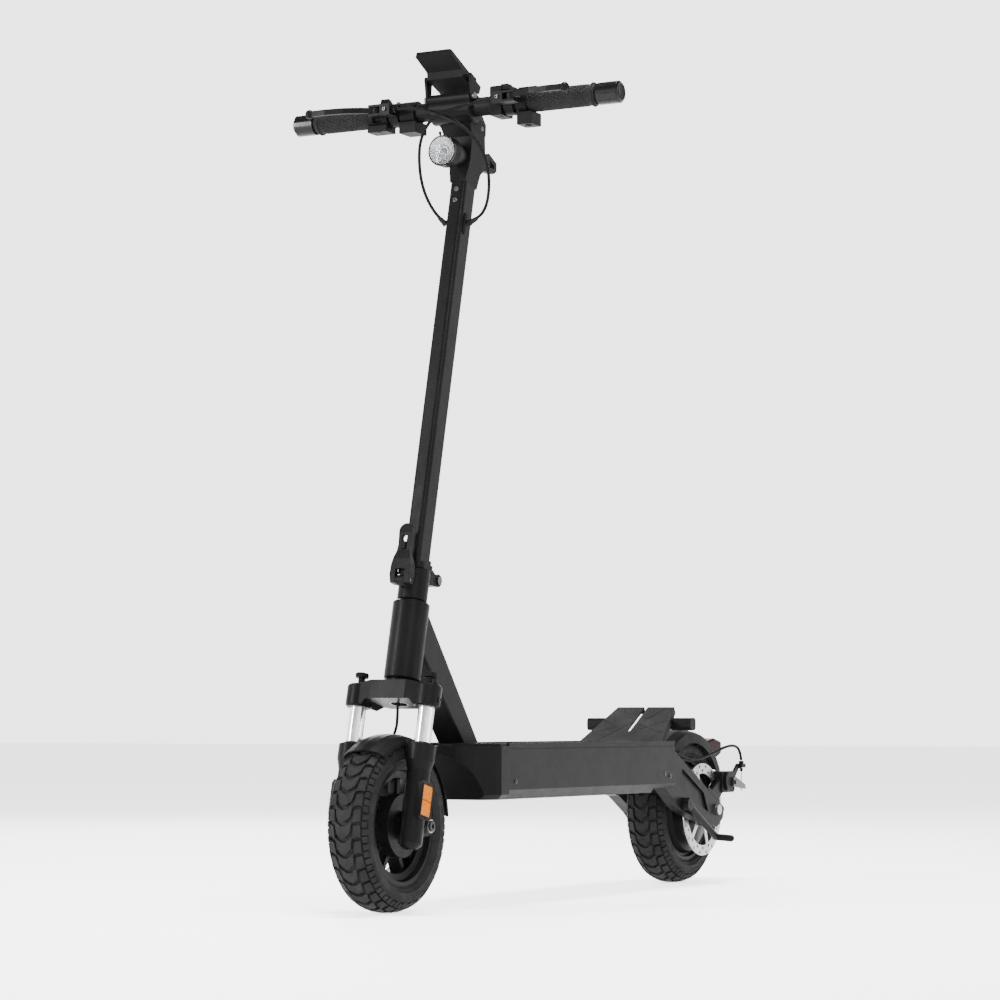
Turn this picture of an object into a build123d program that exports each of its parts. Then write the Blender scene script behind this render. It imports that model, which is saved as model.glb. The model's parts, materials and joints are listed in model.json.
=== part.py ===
from build123d import *
import math
import os

# Electric kick scooter. Millimetres, +X forward, +Y the rider's left, +Z up.
# The origin is on the ground, midway between the front and rear ends, on the centre plane.

# Driving dimensions
TYRE_R = 131.0
FRONT_X = 520.0
REAR_X = -494.0
RAKE = 13.62
HEAD_X = 448.1
HEAD_Z = 469.0
HEAD_TUBE_LENGTH = 123.5
LEG_Y = 60.0
LEG_T = 19.0
STEM_END = 692.0
BAR_S = 800.6
BAR_T = 55.0
BAR_R = 15.0
FOLD_S = 50.0
FOLD_T = -52.0
DECK_REAR_X = -309.0
DECK_FRONT_X = 302.0
DECK_HALF_WIDTH = 92.0
DECK_BOTTOM_Z = 166.0
DECK_TOP_Z = 249.5
RIM_TOP_Z = 254.0
PIVOT_X = -268.0
PIVOT_Z = 199.0
WALL = 5.0
RUNNING_GAP = 0.3
PIN_GAP = 0.05

# Axle places in the steering frame: up the axis and forward of it
FRONT_AXLE_S = -345.4
FRONT_AXLE_T = -9.7

COS_RAKE = math.cos(math.radians(RAKE))
SIN_RAKE = math.sin(math.radians(RAKE))

# The steering frame: local x is forward of the axis (t), local z is up along it (s)
STEER = Plane(
    origin=(HEAD_X, 0, HEAD_Z), x_dir=(COS_RAKE, 0, SIN_RAKE), z_dir=(-SIN_RAKE, 0, COS_RAKE)
).location


def steer_point(t, y, s):
    """A point of the steering frame in the object's frame."""
    return (HEAD_X - s * SIN_RAKE + t * COS_RAKE, y, HEAD_Z + s * COS_RAKE + t * SIN_RAKE)


def rod(start, end, radius):
    """A round bar from start to end."""
    start = Vector(start)
    along = Vector(end) - start
    return Plane(origin=start, z_dir=along.normalized()) * Cylinder(
        radius, along.length, align=(Align.CENTER, Align.CENTER, Align.MIN)
    )


def pipe(start, end, outer, inner):
    """A round tube from start to end."""
    return rod(start, end, outer) - rod(start, end, inner)


def block(x, y, z):
    """A box from three pairs of limits."""
    low = (min(x), min(y), min(z))
    size = (max(x) - low[0], max(y) - low[1], max(z) - low[2])
    return Pos(*low) * Box(*size, align=(Align.MIN, Align.MIN, Align.MIN))


def side_plate(outline, y):
    """An outline in the XZ plane, pushed through from y[0] to y[1]."""
    face = Face(Wire.make_polygon([(px, y[0], pz) for px, pz in outline], close=True))
    return Solid.extrude(face, Vector(0, y[1] - y[0], 0))


def flat_plate(outline, z):
    """An outline in the XY plane, pushed up from z[0] to z[1]."""
    face = Face(Wire.make_polygon([(px, py, z[0]) for px, py in outline], close=True))
    return Solid.extrude(face, Vector(0, 0, z[1] - z[0]))


def cross_bar(x, z, radius, y):
    """A round bar along Y."""
    return rod((x, y[0], z), (x, y[1], z), radius)


def cross_pipe(x, z, outer, inner, y):
    """A round tube along Y."""
    return pipe((x, y[0], z), (x, y[1], z), outer, inner)


def turned(outline, x, z):
    """A ring turned about the Y axis through (x, z), from (radius, y) points."""
    face = Face(Wire.make_polygon([(radius, py, 0) for radius, py in outline], close=True))
    return Pos(x, 0, z) * Solid.revolve(face, 360, Axis.Y)


def mirrored(shape):
    """The same shape on the other side of the centre plane."""
    return mirror(shape, about=Plane.XZ)


def both_sides(shape):
    """A left shape and its mirror image, as a list."""
    return [shape, mirrored(shape)]


def arc_points(x, z, radius, start, end, steps):
    """Points on a circle in XZ, with angles in degrees from straight up towards the front."""
    points = []
    for step in range(steps + 1):
        angle = math.radians(start + (end - start) * step / steps)
        points.append((x + radius * math.sin(angle), z + radius * math.cos(angle)))
    return points


NODES = {}


def node(name, *shapes):
    """Collects the solids of one named sub-part."""
    solids = []
    for shape in shapes:
        for item in shape if isinstance(shape, (list, tuple)) else [shape]:
            solids.extend(item.solids())
    NODES[name] = solids


# ---------------------------------------------------------------- deck and neck

NOSE_R = 104.0
NOSE_CENTRE_X = 279.0
ARCH_R = 174.0
HEAD_TUBE_R = 28.5
STEERER_R = 15.0
BEARING_R = 23.0
BEARING_HEIGHT = 9.0
STRUT_HALF_WIDTH = 23.0
LID_TOP_Z = 252.0
KICK_SEAT_Z = 251.0
LID_BOTTOM_Z = 244.0
BULKHEAD_X = -232.0
PIVOT_SHAFT_R = 6.0
PIVOT_BOLT_R = 3.5
SHAFT_SEAT_Y = 90.0
CROSS_TUBE_R = 20.0


def head_tube_bore():
    """The head tube's bore, with a seat for a bearing at each end."""
    bore = Cylinder(STEERER_R + 3, HEAD_TUBE_LENGTH, align=(Align.CENTER, Align.CENTER, Align.MAX))
    seat = Cylinder(BEARING_R, BEARING_HEIGHT, align=(Align.CENTER, Align.CENTER, Align.MAX))
    return STEER * (bore + seat + Pos(0, 0, BEARING_HEIGHT - HEAD_TUBE_LENGTH) * seat)


def make_neck():
    tube = Cylinder(HEAD_TUBE_R, HEAD_TUBE_LENGTH, align=(Align.CENTER, Align.CENTER, Align.MAX))
    tube = STEER * chamfer(tube.edges().filter_by(GeomType.CIRCLE), 2)
    outline = [(433, 450), (270, DECK_TOP_Z), (322, DECK_TOP_Z), (445, 381), (455, 392), (446, 452)]
    strut = side_plate(outline, (-STRUT_HALF_WIDTH, STRUT_HALF_WIDTH))
    strut = fillet(strut.edges().filter_by(lambda edge: abs(edge.tangent_at(0.5).Y) < 0.1)
                   .filter_by(lambda edge: edge.length > 100), 4)
    foot = block((262, 330), (-29, 29), (DECK_TOP_Z, DECK_TOP_Z + 3))
    return tube + strut + foot - head_tube_bore()


def nose_outline(inset):
    """The nose in plan, from the seam round the front arc."""
    radius = NOSE_R - inset
    half_width = DECK_HALF_WIDTH - inset
    corner = math.degrees(math.asin(half_width / radius))
    points = [(DECK_FRONT_X, half_width)]
    for step in range(25):
        angle = math.radians(corner - 2 * corner * step / 24)
        points.append((NOSE_CENTRE_X + radius * math.cos(angle), radius * math.sin(angle)))
    points.append((DECK_FRONT_X, -half_width))
    return points


def make_nose():
    outer = flat_plate(nose_outline(0), (DECK_BOTTOM_Z, DECK_TOP_Z))
    outer = chamfer(outer.edges().group_by(Axis.Z)[0], 8)
    lip = flat_plate(nose_outline(2.5), (DECK_TOP_Z, RIM_TOP_Z))
    outer += lip - block((DECK_FRONT_X - 50, DECK_FRONT_X + 200), (-32, 32), (DECK_TOP_Z, RIM_TOP_Z))
    arch = cross_bar(FRONT_X, TYRE_R, ARCH_R, (-120, 120))
    inner = flat_plate(nose_outline(WALL), (DECK_BOTTOM_Z + WALL, DECK_TOP_Z - WALL))
    inner -= cross_bar(FRONT_X, TYRE_R, ARCH_R + WALL, (-120, 120))
    return outer - arch - inner


def make_deck_shell():
    full_width = (-DECK_HALF_WIDTH, DECK_HALF_WIDTH)
    length = (DECK_REAR_X, DECK_FRONT_X)
    outer = block(length, full_width, (DECK_BOTTOM_Z, RIM_TOP_Z))
    bottom_edges = outer.edges().group_by(Axis.Z)[0].filter_by(Axis.X)
    outer = chamfer(bottom_edges, 15, 10)
    for side in (-1, 1):
        outer -= block(length, (side * (DECK_HALF_WIDTH - 1.2), side * 100), (244.5, 247))
    inside = DECK_HALF_WIDTH - WALL
    outer -= block((BULKHEAD_X + WALL, DECK_FRONT_X), (-76, 76), (DECK_BOTTOM_Z + 4, 190))
    outer -= block((BULKHEAD_X + WALL, DECK_FRONT_X), (-inside, inside), (181, LID_BOTTOM_Z))
    outer -= block((DECK_REAR_X, BULKHEAD_X), (-inside, inside), (DECK_BOTTOM_Z, LID_BOTTOM_Z))
    outer -= block(length, (4 - DECK_HALF_WIDTH, DECK_HALF_WIDTH - 4), (LID_BOTTOM_Z, RIM_TOP_Z))
    outer -= cross_bar(PIVOT_X, PIVOT_Z, PIVOT_SHAFT_R, (-SHAFT_SEAT_Y, SHAFT_SEAT_Y))
    return outer - cross_bar(PIVOT_X, PIVOT_Z, PIVOT_BOLT_R, (-100, 100))


def make_pivot_shaft():
    shaft = cross_bar(PIVOT_X, PIVOT_Z, PIVOT_SHAFT_R, (-SHAFT_SEAT_Y, SHAFT_SEAT_Y))
    return shaft + cross_bar(PIVOT_X, PIVOT_Z, PIVOT_BOLT_R, (-DECK_HALF_WIDTH, DECK_HALF_WIDTH))


KICK_LOW = (-281.0, 252.5)
KICK_HIGH = (-386.0, 313.0)
KICK_LOW_HALF = 80.0
KICK_HIGH_HALF = 55.0
KICK_LENGTH = math.dist(KICK_LOW, KICK_HIGH)
KICK_SLOPE = math.degrees(math.atan2(KICK_HIGH[1] - KICK_LOW[1], KICK_LOW[0] - KICK_HIGH[0]))


def kick_frame():
    """A frame on the kickplate's lower edge: local x runs up the slope, local z is its normal."""
    slope = math.radians(KICK_SLOPE)
    return Plane(
        origin=(KICK_LOW[0], 0, KICK_LOW[1]), x_dir=(-math.cos(slope), 0, math.sin(slope)),
        z_dir=(math.sin(slope), 0, math.cos(slope))
    ).location


# Straight grooves in one half of the kickplate's face: (up the slope, across)
KICK_GROOVES = [
    ((4, 46), (58, 10)), ((30, 68), (64, 5)), ((58, 10), (118, 40)), ((44, 20), (74, 61)),
    ((88, 26), (80, 5)),
]


def surface_groove(start, end, width, depth):
    """A shallow straight groove in a face at local height zero."""
    length = math.dist(start, end)
    turn = math.degrees(math.atan2(end[1] - start[1], end[0] - start[0]))
    cutter = Pos(length / 2, 0, 0) * Box(length, width, 2 * depth)
    return Pos(start[0], start[1], 0) * Rot(0, 0, turn) * cutter


def make_kickplate():
    corners = [(0, -KICK_LOW_HALF), (KICK_LENGTH, -KICK_HIGH_HALF),
               (KICK_LENGTH, KICK_HIGH_HALF), (0, KICK_LOW_HALF)]
    inner = [(4, 4 - KICK_LOW_HALF), (KICK_LENGTH - 4, 4 - KICK_HIGH_HALF),
             (KICK_LENGTH - 4, KICK_HIGH_HALF - 4), (4, KICK_LOW_HALF - 4)]
    shell = flat_plate(corners, (-12, 0)) - flat_plate(inner, (-12, -4))
    slot = block((40, KICK_LENGTH), (-3.5, 3.5), (-12, 0)) + Pos(40, 0, -6) * Cylinder(3.5, 12)
    shell -= slot
    for start, end in KICK_GROOVES:
        for side in (-1, 1):
            shell -= surface_groove((start[0], side * start[1]), (end[0], side * end[1]), 1.1, 0.6)
    shell = kick_frame() * shell
    shell -= block((KICK_LOW[0] - 30, KICK_LOW[0] + 20), (-100, 100), (200, KICK_SEAT_Z))
    return shell + [lamp_bracket(side) for side in (-1, 1)]


LAMP_X = -365.0
LAMP_Z = (272.0, 294.0)


def lamp_bracket(side):
    """The tab under the kickplate's skirt that carries one indicator."""
    return block((LAMP_X - 6, LAMP_X + 6), (side * 52, side * 57), (LAMP_Z[0] + 2, 293))


def make_rear_indicators():
    lamps = []
    for side in (-1, 1):
        body = block((LAMP_X - 11, LAMP_X + 11), (side * 64, side * 101), LAMP_Z)
        body = fillet(body.edges().filter_by(Axis.Y), 7)
        lamps.append(body + cross_bar(LAMP_X, LAMP_Z[0] + 7, 3, (side * 57, side * 64)))
    return lamps


def make_frame():
    node("neck", make_neck())
    node("deck_nose", make_nose())
    node("deck_shell", make_deck_shell())
    mat_half = DECK_HALF_WIDTH - 4
    lid = block((DECK_REAR_X, DECK_FRONT_X), (-mat_half, mat_half), (LID_BOTTOM_Z, LID_TOP_Z))
    lid -= block((262, DECK_FRONT_X), (-29, 29), (DECK_TOP_Z, LID_TOP_Z))
    lid -= block((DECK_REAR_X, KICK_LOW[0] + 0.3), (-mat_half, mat_half), (KICK_SEAT_Z, LID_TOP_Z))
    node("deck_mat", lid)
    node("battery_pack", block((-205, 205), (-62, 62), (DECK_BOTTOM_Z + 4, 236)))
    node("controller", block((218, 292), (-42, 42), (DECK_BOTTOM_Z + 4, 205)))
    node("pivot_shaft", make_pivot_shaft())
    node("kickplate", make_kickplate())
    node("rear_indicators", make_rear_indicators())
    ring = Cylinder(BEARING_R, BEARING_HEIGHT, align=(Align.CENTER, Align.CENTER, Align.MAX))
    ring -= Cylinder(STEERER_R + PIN_GAP, BEARING_HEIGHT, align=(Align.CENTER, Align.CENTER, Align.MAX))
    node("head_bearings", STEER * ring, STEER * Pos(0, 0, BEARING_HEIGHT - HEAD_TUBE_LENGTH) * ring)


# ---------------------------------------------------------------- fork

STANCHION_R = 12.5
STANCHION_BORE_R = 9.5
LEG_R = 18.0
COLLAR_R = 22.0
CROWN_TOP_S = -131.0
CROWN_BOTTOM_S = -170.0
COLLAR_TOP_S = -229.0
LEG_END_S = -386.0
STANCHION_TOP_S = -141.0
STANCHION_END_S = -318.0
AXLE_R = 6.0
BASE_R = 23.3
BASE_TOP_S = 57.0
LEVER_S = 26.0
LEVER_T = 38.0
FOLD_PIN_R = 4.0
LEVER_PIN_R = 3.0
KNOB_STEM_R = 5.3


def upright(t, y, radius, s):
    """A bar along the steering axis' direction, in the steering frame."""
    return rod((t, y, s[0]), (t, y, s[1]), radius)


def make_crown():
    plan = [(8, 64), (26, 64), (37, 50), (40, 30), (40, -30), (37, -50), (26, -64), (8, -64),
            (-6, -50), (-30, -30), (-30, 30), (-6, 50)]
    front = [(0, -131), (30, -131), (56, -135), (64, -138), (64, -166), (45, -168), (38, -160)]
    front += [(-y, s) for y, s in reversed(front[1:])]
    face = Face(Wire.make_polygon([(-32, y, s) for y, s in front], close=True))
    crown = Solid.extrude(face, Vector(74, 0, 0)) & flat_plate(plan, (CROWN_BOTTOM_S, CROWN_TOP_S))
    crown += upright(0, 0, 24, (CROWN_TOP_S - 2, -HEAD_TUBE_LENGTH - 0.6))
    for side in (-1, 1):
        boss = upright(LEG_T, side * LEG_Y, 20, (CROWN_BOTTOM_S, -135))
        crown += chamfer(boss.edges().filter_by(GeomType.CIRCLE), 2.5)
    for side in (-1, 1):
        crown -= upright(LEG_T, side * LEG_Y, STANCHION_R + PIN_GAP, (CROWN_BOTTOM_S, STANCHION_TOP_S))
        crown -= upright(LEG_T, side * LEG_Y, KNOB_STEM_R + 0.35, (STANCHION_TOP_S, CROWN_TOP_S))
    return crown - upright(0, 0, STEERER_R + PIN_GAP, (CROWN_BOTTOM_S, 0))


def make_springs():
    """Each stanchion holds a spring, drawn as its outer tube."""
    low = (LEG_T, LEG_Y, STANCHION_END_S)
    high = (LEG_T, LEG_Y, STANCHION_TOP_S - 8)
    spring = pipe(low, high, STANCHION_BORE_R - 0.5, 6)
    return both_sides(spring)


def make_fold_base():
    base = upright(0, 0, BASE_R, (2, 52))
    base = chamfer(base.edges().group_by(Axis.Z)[0], 1.5)
    flange = Pos(1, 0, 52) * extrude(RectangleRounded(45, 44, 12), amount=BASE_TOP_S - 52)
    ear_outline = [(-18, 34), (-40, 38), (-52, 40), (-52, 60), (-44, BASE_TOP_S), (-18, BASE_TOP_S)]
    ears = side_plate(ear_outline, (-12.5, 12.5)) + cross_bar(FOLD_T, FOLD_S, 10, (-12.5, 12.5))
    tongue_room = block((-80, -24), (-6.2, 6.2), (30, 80))
    ears -= cross_bar(FOLD_T, FOLD_S, FOLD_PIN_R + PIN_GAP, (-20, 20))
    lug = block((10, LEVER_T), (-7.5, 7.5), (18, 34)) + cross_bar(LEVER_T, LEVER_S, 8, (-7.5, 7.5))
    lug -= cross_bar(LEVER_T, LEVER_S, LEVER_PIN_R + PIN_GAP, (-20, 20))
    return base + flange + (ears - tongue_room) + lug - upright(0, 0, STEERER_R + PIN_GAP, (0, 60))


def lever_front_outline():
    """The fold lever from the front, as (y, s): a round head, a waist and a broad foot."""
    head = [(y, s) for s, y in arc_points(104, 0, 11.5, 0, 90, 6)]
    right = [(16, 20), (17.5, 34), (17, 50), (14.5, 61), (11.5, 70), (9.8, 82)] + head
    return right + [(-y, s) for y, s in reversed(right[:-1])]


def make_fold_lever():
    profile = [(30.5, 20), (36, 17.5), (45, 20), (47.5, 32), (46.5, 58), (44.5, 72), (44.5, 100), (42.5, 116),
               (38.5, 116), (38, 90), (37, 66), (33, 50), (31, 34)]
    face = Face(Wire.make_polygon([(20, y, s) for y, s in lever_front_outline()], close=True))
    lever = side_plate(profile, (-20, 20)) & Solid.extrude(face, Vector(40, 0, 0))
    lever -= block((20, 60), (-8, 8), (10, 42))
    lever -= block((20, 41), (-12, 12), (30, 62))
    lever += block((26, 40), (-6, 6), (64, 70))
    lever -= block((30, 50), (-3.9, 3.9), (73.5, 92)) + rod((30, 0, 92), (50, 0, 92), 5)
    lever -= block((30, 38.2), (-7.5, 7.5), (72, 98))
    return lever - cross_bar(LEVER_T, LEVER_S, LEVER_PIN_R + PIN_GAP, (-20, 20))


def make_fold_catch():
    return block((35, 47), (-3.6, 3.6), (74, 85)) + block((34.6, 37.8), (-7, 7), (73, 86))


def make_steering():
    node("fork_crown", STEER * make_crown())
    steerer = pipe((0, 0, -160), (0, 0, 50), STEERER_R, STEERER_R - 2)
    node("steerer_tube", STEER * steerer)
    low = (LEG_T, LEG_Y, STANCHION_END_S)
    high = (LEG_T, LEG_Y, STANCHION_TOP_S)
    stanchion = pipe(low, high, STANCHION_R, STANCHION_BORE_R)
    node("stanchions", [STEER * part for part in both_sides(stanchion)])
    node("fork_springs", [STEER * part for part in make_springs()])
    node("fold_base", STEER * make_fold_base())
    hinge_pin = cross_bar(FOLD_T, FOLD_S, FOLD_PIN_R, (-12.5, 12.5))
    hinge_pin += cross_bar(FOLD_T, FOLD_S, 6.5, (12.5, 15))
    hinge_pin += cross_bar(FOLD_T, FOLD_S, 6.5, (-15, -12.5))
    lever_pin = cross_bar(LEVER_T, LEVER_S, LEVER_PIN_R, (-16, 16))
    node("fold_pins", STEER * hinge_pin, STEER * lever_pin)
    knob = upright(LEG_T, LEG_Y, KNOB_STEM_R, (-140.5, -123.3)) + upright(LEG_T, LEG_Y, 10.35, (-123.3, -116))
    node("preload_knob_left", STEER * knob)
    node("preload_knob_right", STEER * mirrored(knob))
    node("fold_lever", STEER * make_fold_lever())
    node("fold_catch", STEER * make_fold_catch())


# ---------------------------------------------------------------- fork lowers and front wheel

TYRE_OUTLINE = [
    (131, 10), (129.5, 16), (126.5, 24), (122, 31), (116, 35), (110, 36), (103, 35), (96, 32), (91, 28),
]
FENDER_OUTLINE = [
    (138, 0), (137, 14), (133.5, 26), (127, 35), (121, 36.5),
    (120.8, 34.4), (125.5, 33), (131, 24.5), (134.2, 13), (135.3, 0),
]
HUB_HALF_WIDTH = 32.0
RIM_R = 91.0
SPOKES = 5


def both_sides_outline(points):
    """An outline of (radius, y) points on one side, closed across the centre plane."""
    return points + [(radius, -y) for radius, y in reversed(points)]


def make_tyre(x, rim_r):
    """A fat tyre: a solid crown and walls around an air space that is closed by the rim."""
    outside = both_sides_outline(TYRE_OUTLINE + [(rim_r, 28)])
    inside = both_sides_outline([(123, 8), (117, 24), (109, 29), (100, 27)])
    return turned(outside, x, TYRE_R) - turned(inside, x, TYRE_R)


def curved_band(outline, x, z, start, end):
    """A (radius, y) section swept round an axle between two angles from straight up."""
    face = Face(Wire.make_polygon([(0, y, radius) for radius, y in outline], close=True))
    band = Solid.revolve(face, end - start, Axis.Y)
    return Pos(x, 0, z) * Rot(0, start, 0) * band


def full_section(half):
    """The mirrored section of a band given from its outer middle round to its inner middle."""
    return half + [(radius, -y) for radius, y in reversed(half[1:-1])]


def make_fork_legs():
    leg = upright(LEG_T, LEG_Y, COLLAR_R, (-253, COLLAR_TOP_S))
    cone = Pos(LEG_T, LEG_Y, -267) * Cone(
        LEG_R, COLLAR_R - 0.5, 14, align=(Align.CENTER, Align.CENTER, Align.MIN))
    tube = upright(LEG_T, LEG_Y, LEG_R, (LEG_END_S, -260))
    leg += cone + chamfer(tube.edges().group_by(Axis.Z)[0], 7)
    boss = cross_bar(FRONT_AXLE_T, FRONT_AXLE_S, 15, (50, 70))
    web = [(FRONT_AXLE_T, FRONT_AXLE_S - 15), (LEG_T, -370), (LEG_T, -310), (FRONT_AXLE_T, FRONT_AXLE_S + 15)]
    leg += boss + side_plate(web, (50, 70))
    holder = block((3, 35), (62, 78), (-341, -284))
    leg += fillet(holder.edges().filter_by(Axis.Y), 3)
    leg -= upright(LEG_T, LEG_Y, STANCHION_R + 0.3, (-358, COLLAR_TOP_S))
    leg -= cross_bar(FRONT_AXLE_T, FRONT_AXLE_S, AXLE_R + PIN_GAP, (40, 80))
    return leg


def make_front_fender():
    fender = curved_band(full_section(FENDER_OUTLINE), FRONT_X, TYRE_R, -85, 34)
    tab = block((10, 28), (34.6, 42), (-228, -221.5)) + block((10, 28), (36.6, 42), (-240, -222))
    tab -= upright(LEG_T, LEG_Y, COLLAR_R + PIN_GAP, (-253, -229)) + upright(LEG_T, LEG_Y, 14, (-229, -200))
    return fender + STEER * tab + STEER * mirrored(tab)


def make_front_axle():
    axle = cross_bar(FRONT_AXLE_T, FRONT_AXLE_S, AXLE_R, (-70, 70))
    for side in (-1, 1):
        axle += cross_bar(FRONT_AXLE_T, FRONT_AXLE_S, 10, (side * 70, side * 76))
        axle += cross_bar(FRONT_AXLE_T, FRONT_AXLE_S, 9, (side * 38.5, side * 50))
    return axle


def make_brake_plate():
    """The drum brake's fixed plate on the right, with the cam arm that the cable pulls."""
    plate = cross_bar(FRONT_AXLE_T, FRONT_AXLE_S, 46, (-38.5, -33))
    plate = chamfer(plate.edges().filter_by(GeomType.CIRCLE).sort_by(Axis.Y)[0], 2)
    plate += side_plate([(-40, -352), (-62, -330), (-66, -336), (-46, -362)], (-42, -38.5))
    plate += cross_bar(-62, -333, 5, (-46, -38.5))
    return plate - cross_bar(FRONT_AXLE_T, FRONT_AXLE_S, AXLE_R + PIN_GAP, (-40, -30))


def make_rim():
    """A cast rim with five split spokes around a drum hub, on ball bearings."""
    rim = turned([(RIM_R, 28), (RIM_R, -28), (84, -28), (82, -20), (72, -17), (72, 17), (82, 20), (84, 28)],
                 FRONT_X, TYRE_R)
    hub = cross_bar(FRONT_X, TYRE_R, 48, (-HUB_HALF_WIDTH, 28)) + cross_bar(FRONT_X, TYRE_R, 22, (28, 38))
    for spoke in range(SPOKES):
        for lean in (-11, 11):
            angle = math.radians(spoke * 360 / SPOKES + lean)
            root = math.radians(spoke * 360 / SPOKES + lean * 1.7)
            start = Vector(FRONT_X + 40 * math.sin(root), 0, TYRE_R + 40 * math.cos(root))
            end = Vector(FRONT_X + 77 * math.sin(angle), 0, TYRE_R + 77 * math.cos(angle))
            along = (end - start).normalized()
            bar = Plane(origin=start, z_dir=along, x_dir=(0, 1, 0)) * Box(
                22, 8, (end - start).length, align=(Align.CENTER, Align.CENTER, Align.MIN))
            hub += bar
    return rim + hub - cross_bar(FRONT_X, TYRE_R, AXLE_R + 0.1, (-60, 60))


def make_fork_lowers():
    leg = make_fork_legs()
    node("fork_legs", [STEER * part for part in both_sides(leg)])
    node("front_fender", make_front_fender())
    lens = block((5.5, 32.5), (78, 79.5), (-336, -290))
    lens = fillet(lens.edges().filter_by(Axis.Y), 3)
    node("front_reflectors", [STEER * part for part in both_sides(lens)])
    node("front_axle", STEER * make_front_axle())
    node("brake_plate", STEER * make_brake_plate())
    node("front_tyre", make_tyre(FRONT_X, RIM_R + PIN_GAP))
    node("front_rim", make_rim())


# ---------------------------------------------------------------- stem

STEM_START_S = 70.0
STEM_SIZE = (39.0, 28.0)
STEM_WALL = 3.0
STEM_CORNER = 7.0
HEAD_HALF_WIDTH = 38.0
BAR_X, BAR_Z = steer_point(BAR_T, 0, BAR_S)[0::2]
GRIP_R = 17.5
CLAMP_R = 19.5
LIGHT_Z = 1187.0
LIGHT_FACE_X = 356.5
LIGHT_R = 24.5


def stem_section(size, corner, s):
    """A rounded rectangle, long way forward, along the steering axis."""
    return Pos(0, 0, s[0]) * extrude(RectangleRounded(size[0], size[1], corner), amount=s[1] - s[0])


def make_stem_base():
    base = Pos(1, 0, BASE_TOP_S + RUNNING_GAP) * extrude(RectangleRounded(45, 44, 12), amount=4)
    base += Pos(1.25, 0, 61) * extrude(RectangleRounded(43.5, 33, 6), amount=STEM_START_S - 61)
    plug = (STEM_SIZE[0] - 2 * STEM_WALL - 0.2, STEM_SIZE[1] - 2 * STEM_WALL - 0.2)
    base += stem_section(plug, STEM_CORNER - STEM_WALL, (STEM_START_S, STEM_START_S + 22))
    tongue = [(-52, 40.5), (-43, 46), (-25, 57.4), (-18, 57.4), (-18, 70), (-30, 69), (-52, 59.5)]
    base += side_plate(tongue, (-5.9, 5.9)) + cross_bar(FOLD_T, FOLD_S, 9.5, (-5.9, 5.9))
    base -= cross_bar(FOLD_T, FOLD_S, FOLD_PIN_R + PIN_GAP, (-20, 20))
    return base - upright(0, 0, 9, (50, 100))


def make_stem_head():
    """A slender neck that carries the round bar clamp and the display's pivot bosses."""
    side = [(-19.5, STEM_END), (19.5, STEM_END), (21, 728), (34, 762), (52, 781),
            (40, 806), (-2, 778), (-19.5, 748)]
    front = [(-14, STEM_END), (14, STEM_END), (17, 712), (23, 750), (27, 775), (36, 788), (36, 810),
             (-36, 810), (-36, 788), (-27, 775), (-23, 750), (-17, 712)]
    face = Face(Wire.make_polygon([(-30, y, s) for y, s in front], close=True))
    head = side_plate(side, (-HEAD_HALF_WIDTH, HEAD_HALF_WIDTH)) & Solid.extrude(face, Vector(120, 0, 0))
    clamp = cross_bar(BAR_T, BAR_S, 23.5, (-HEAD_HALF_WIDTH, HEAD_HALF_WIDTH))
    head += chamfer(clamp.edges().filter_by(GeomType.CIRCLE), 2)
    head += cross_bar(TILT_T, TILT_S, 8, (-HEAD_HALF_WIDTH, HEAD_HALF_WIDTH))
    head += side_plate([(28, 812), (34, 824), (66, 824), (70, 814)], (-30, 30))
    plug = (STEM_SIZE[0] - 2 * STEM_WALL - 0.2, STEM_SIZE[1] - 2 * STEM_WALL - 0.2)
    head += stem_section(plug, STEM_CORNER - STEM_WALL, (STEM_END - 20, STEM_END))
    head -= cross_bar(BAR_T, BAR_S, BAR_R + PIN_GAP, (-50, 50))
    return head - cross_bar(TILT_T, TILT_S, TILT_PIN_R + PIN_GAP, (-50, 50))


def make_stem_hook():
    outer = [(-19.5, 706), (-19.5, 742), (-44, 752), (-60, 773), (-88, 767),
             (-91, 754), (-84, 747), (-50, 738), (-36, 720)]
    window = [(-54, 748), (-63, 764), (-82, 760), (-82, 755)]
    return side_plate(outer, (-5, 5)) - side_plate(window, (-6, 6))


def make_headlight(head):
    body = light_rod(336, 353, LIGHT_R) + Plane(origin=(290, 0, LIGHT_Z), z_dir=(1, 0, 0)) * Cone(
        12, LIGHT_R, 46, align=(Align.CENTER, Align.CENTER, Align.MIN))
    body += block((280, 330), (-9, 9), (LIGHT_Z - 12, LIGHT_Z + 12))
    lens_room = light_rod(348, LIGHT_FACE_X, LIGHT_R - 2)
    body = body - lens_room - head - STEER * stem_section(STEM_SIZE, STEM_CORNER, (STEM_START_S, STEM_END))
    body = body.solids().sort_by(SortBy.VOLUME)[-1]
    return body, light_rod(348, LIGHT_FACE_X, LIGHT_R - 2.05)


def light_rod(start, end, radius):
    """A round bar along X on the headlight's axis."""
    return rod((start, 0, LIGHT_Z), (end, 0, LIGHT_Z), radius)


def make_grips():
    left = cross_pipe(BAR_X, BAR_Z, GRIP_R, BAR_R + PIN_GAP, (136, 254))
    left += cross_pipe(BAR_X, BAR_Z, 20, BAR_R + PIN_GAP, (246, 251))
    right = left - block((BAR_X - 30, BAR_X + 30), (130, 152), (BAR_Z - 30, BAR_Z + 30))
    return left, mirrored(right)


def make_end_cap():
    cap = chamfer(cross_bar(BAR_X, BAR_Z, 17.5, (258, 295)).edges().sort_by(Axis.Y)[-1], 3)
    return cap + cross_bar(BAR_X, BAR_Z, 12.4, (240, 258))


LEVER_PIVOT = (352.0, 122.0)
LEVER_Z = 1262.0
LEVER_GAP_Z = (LEVER_Z - 5, LEVER_Z + 5)


def clamp_ring(y, radius):
    """A clamp round the handlebar."""
    return cross_pipe(BAR_X, BAR_Z, radius, BAR_R + PIN_GAP, y)


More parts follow.
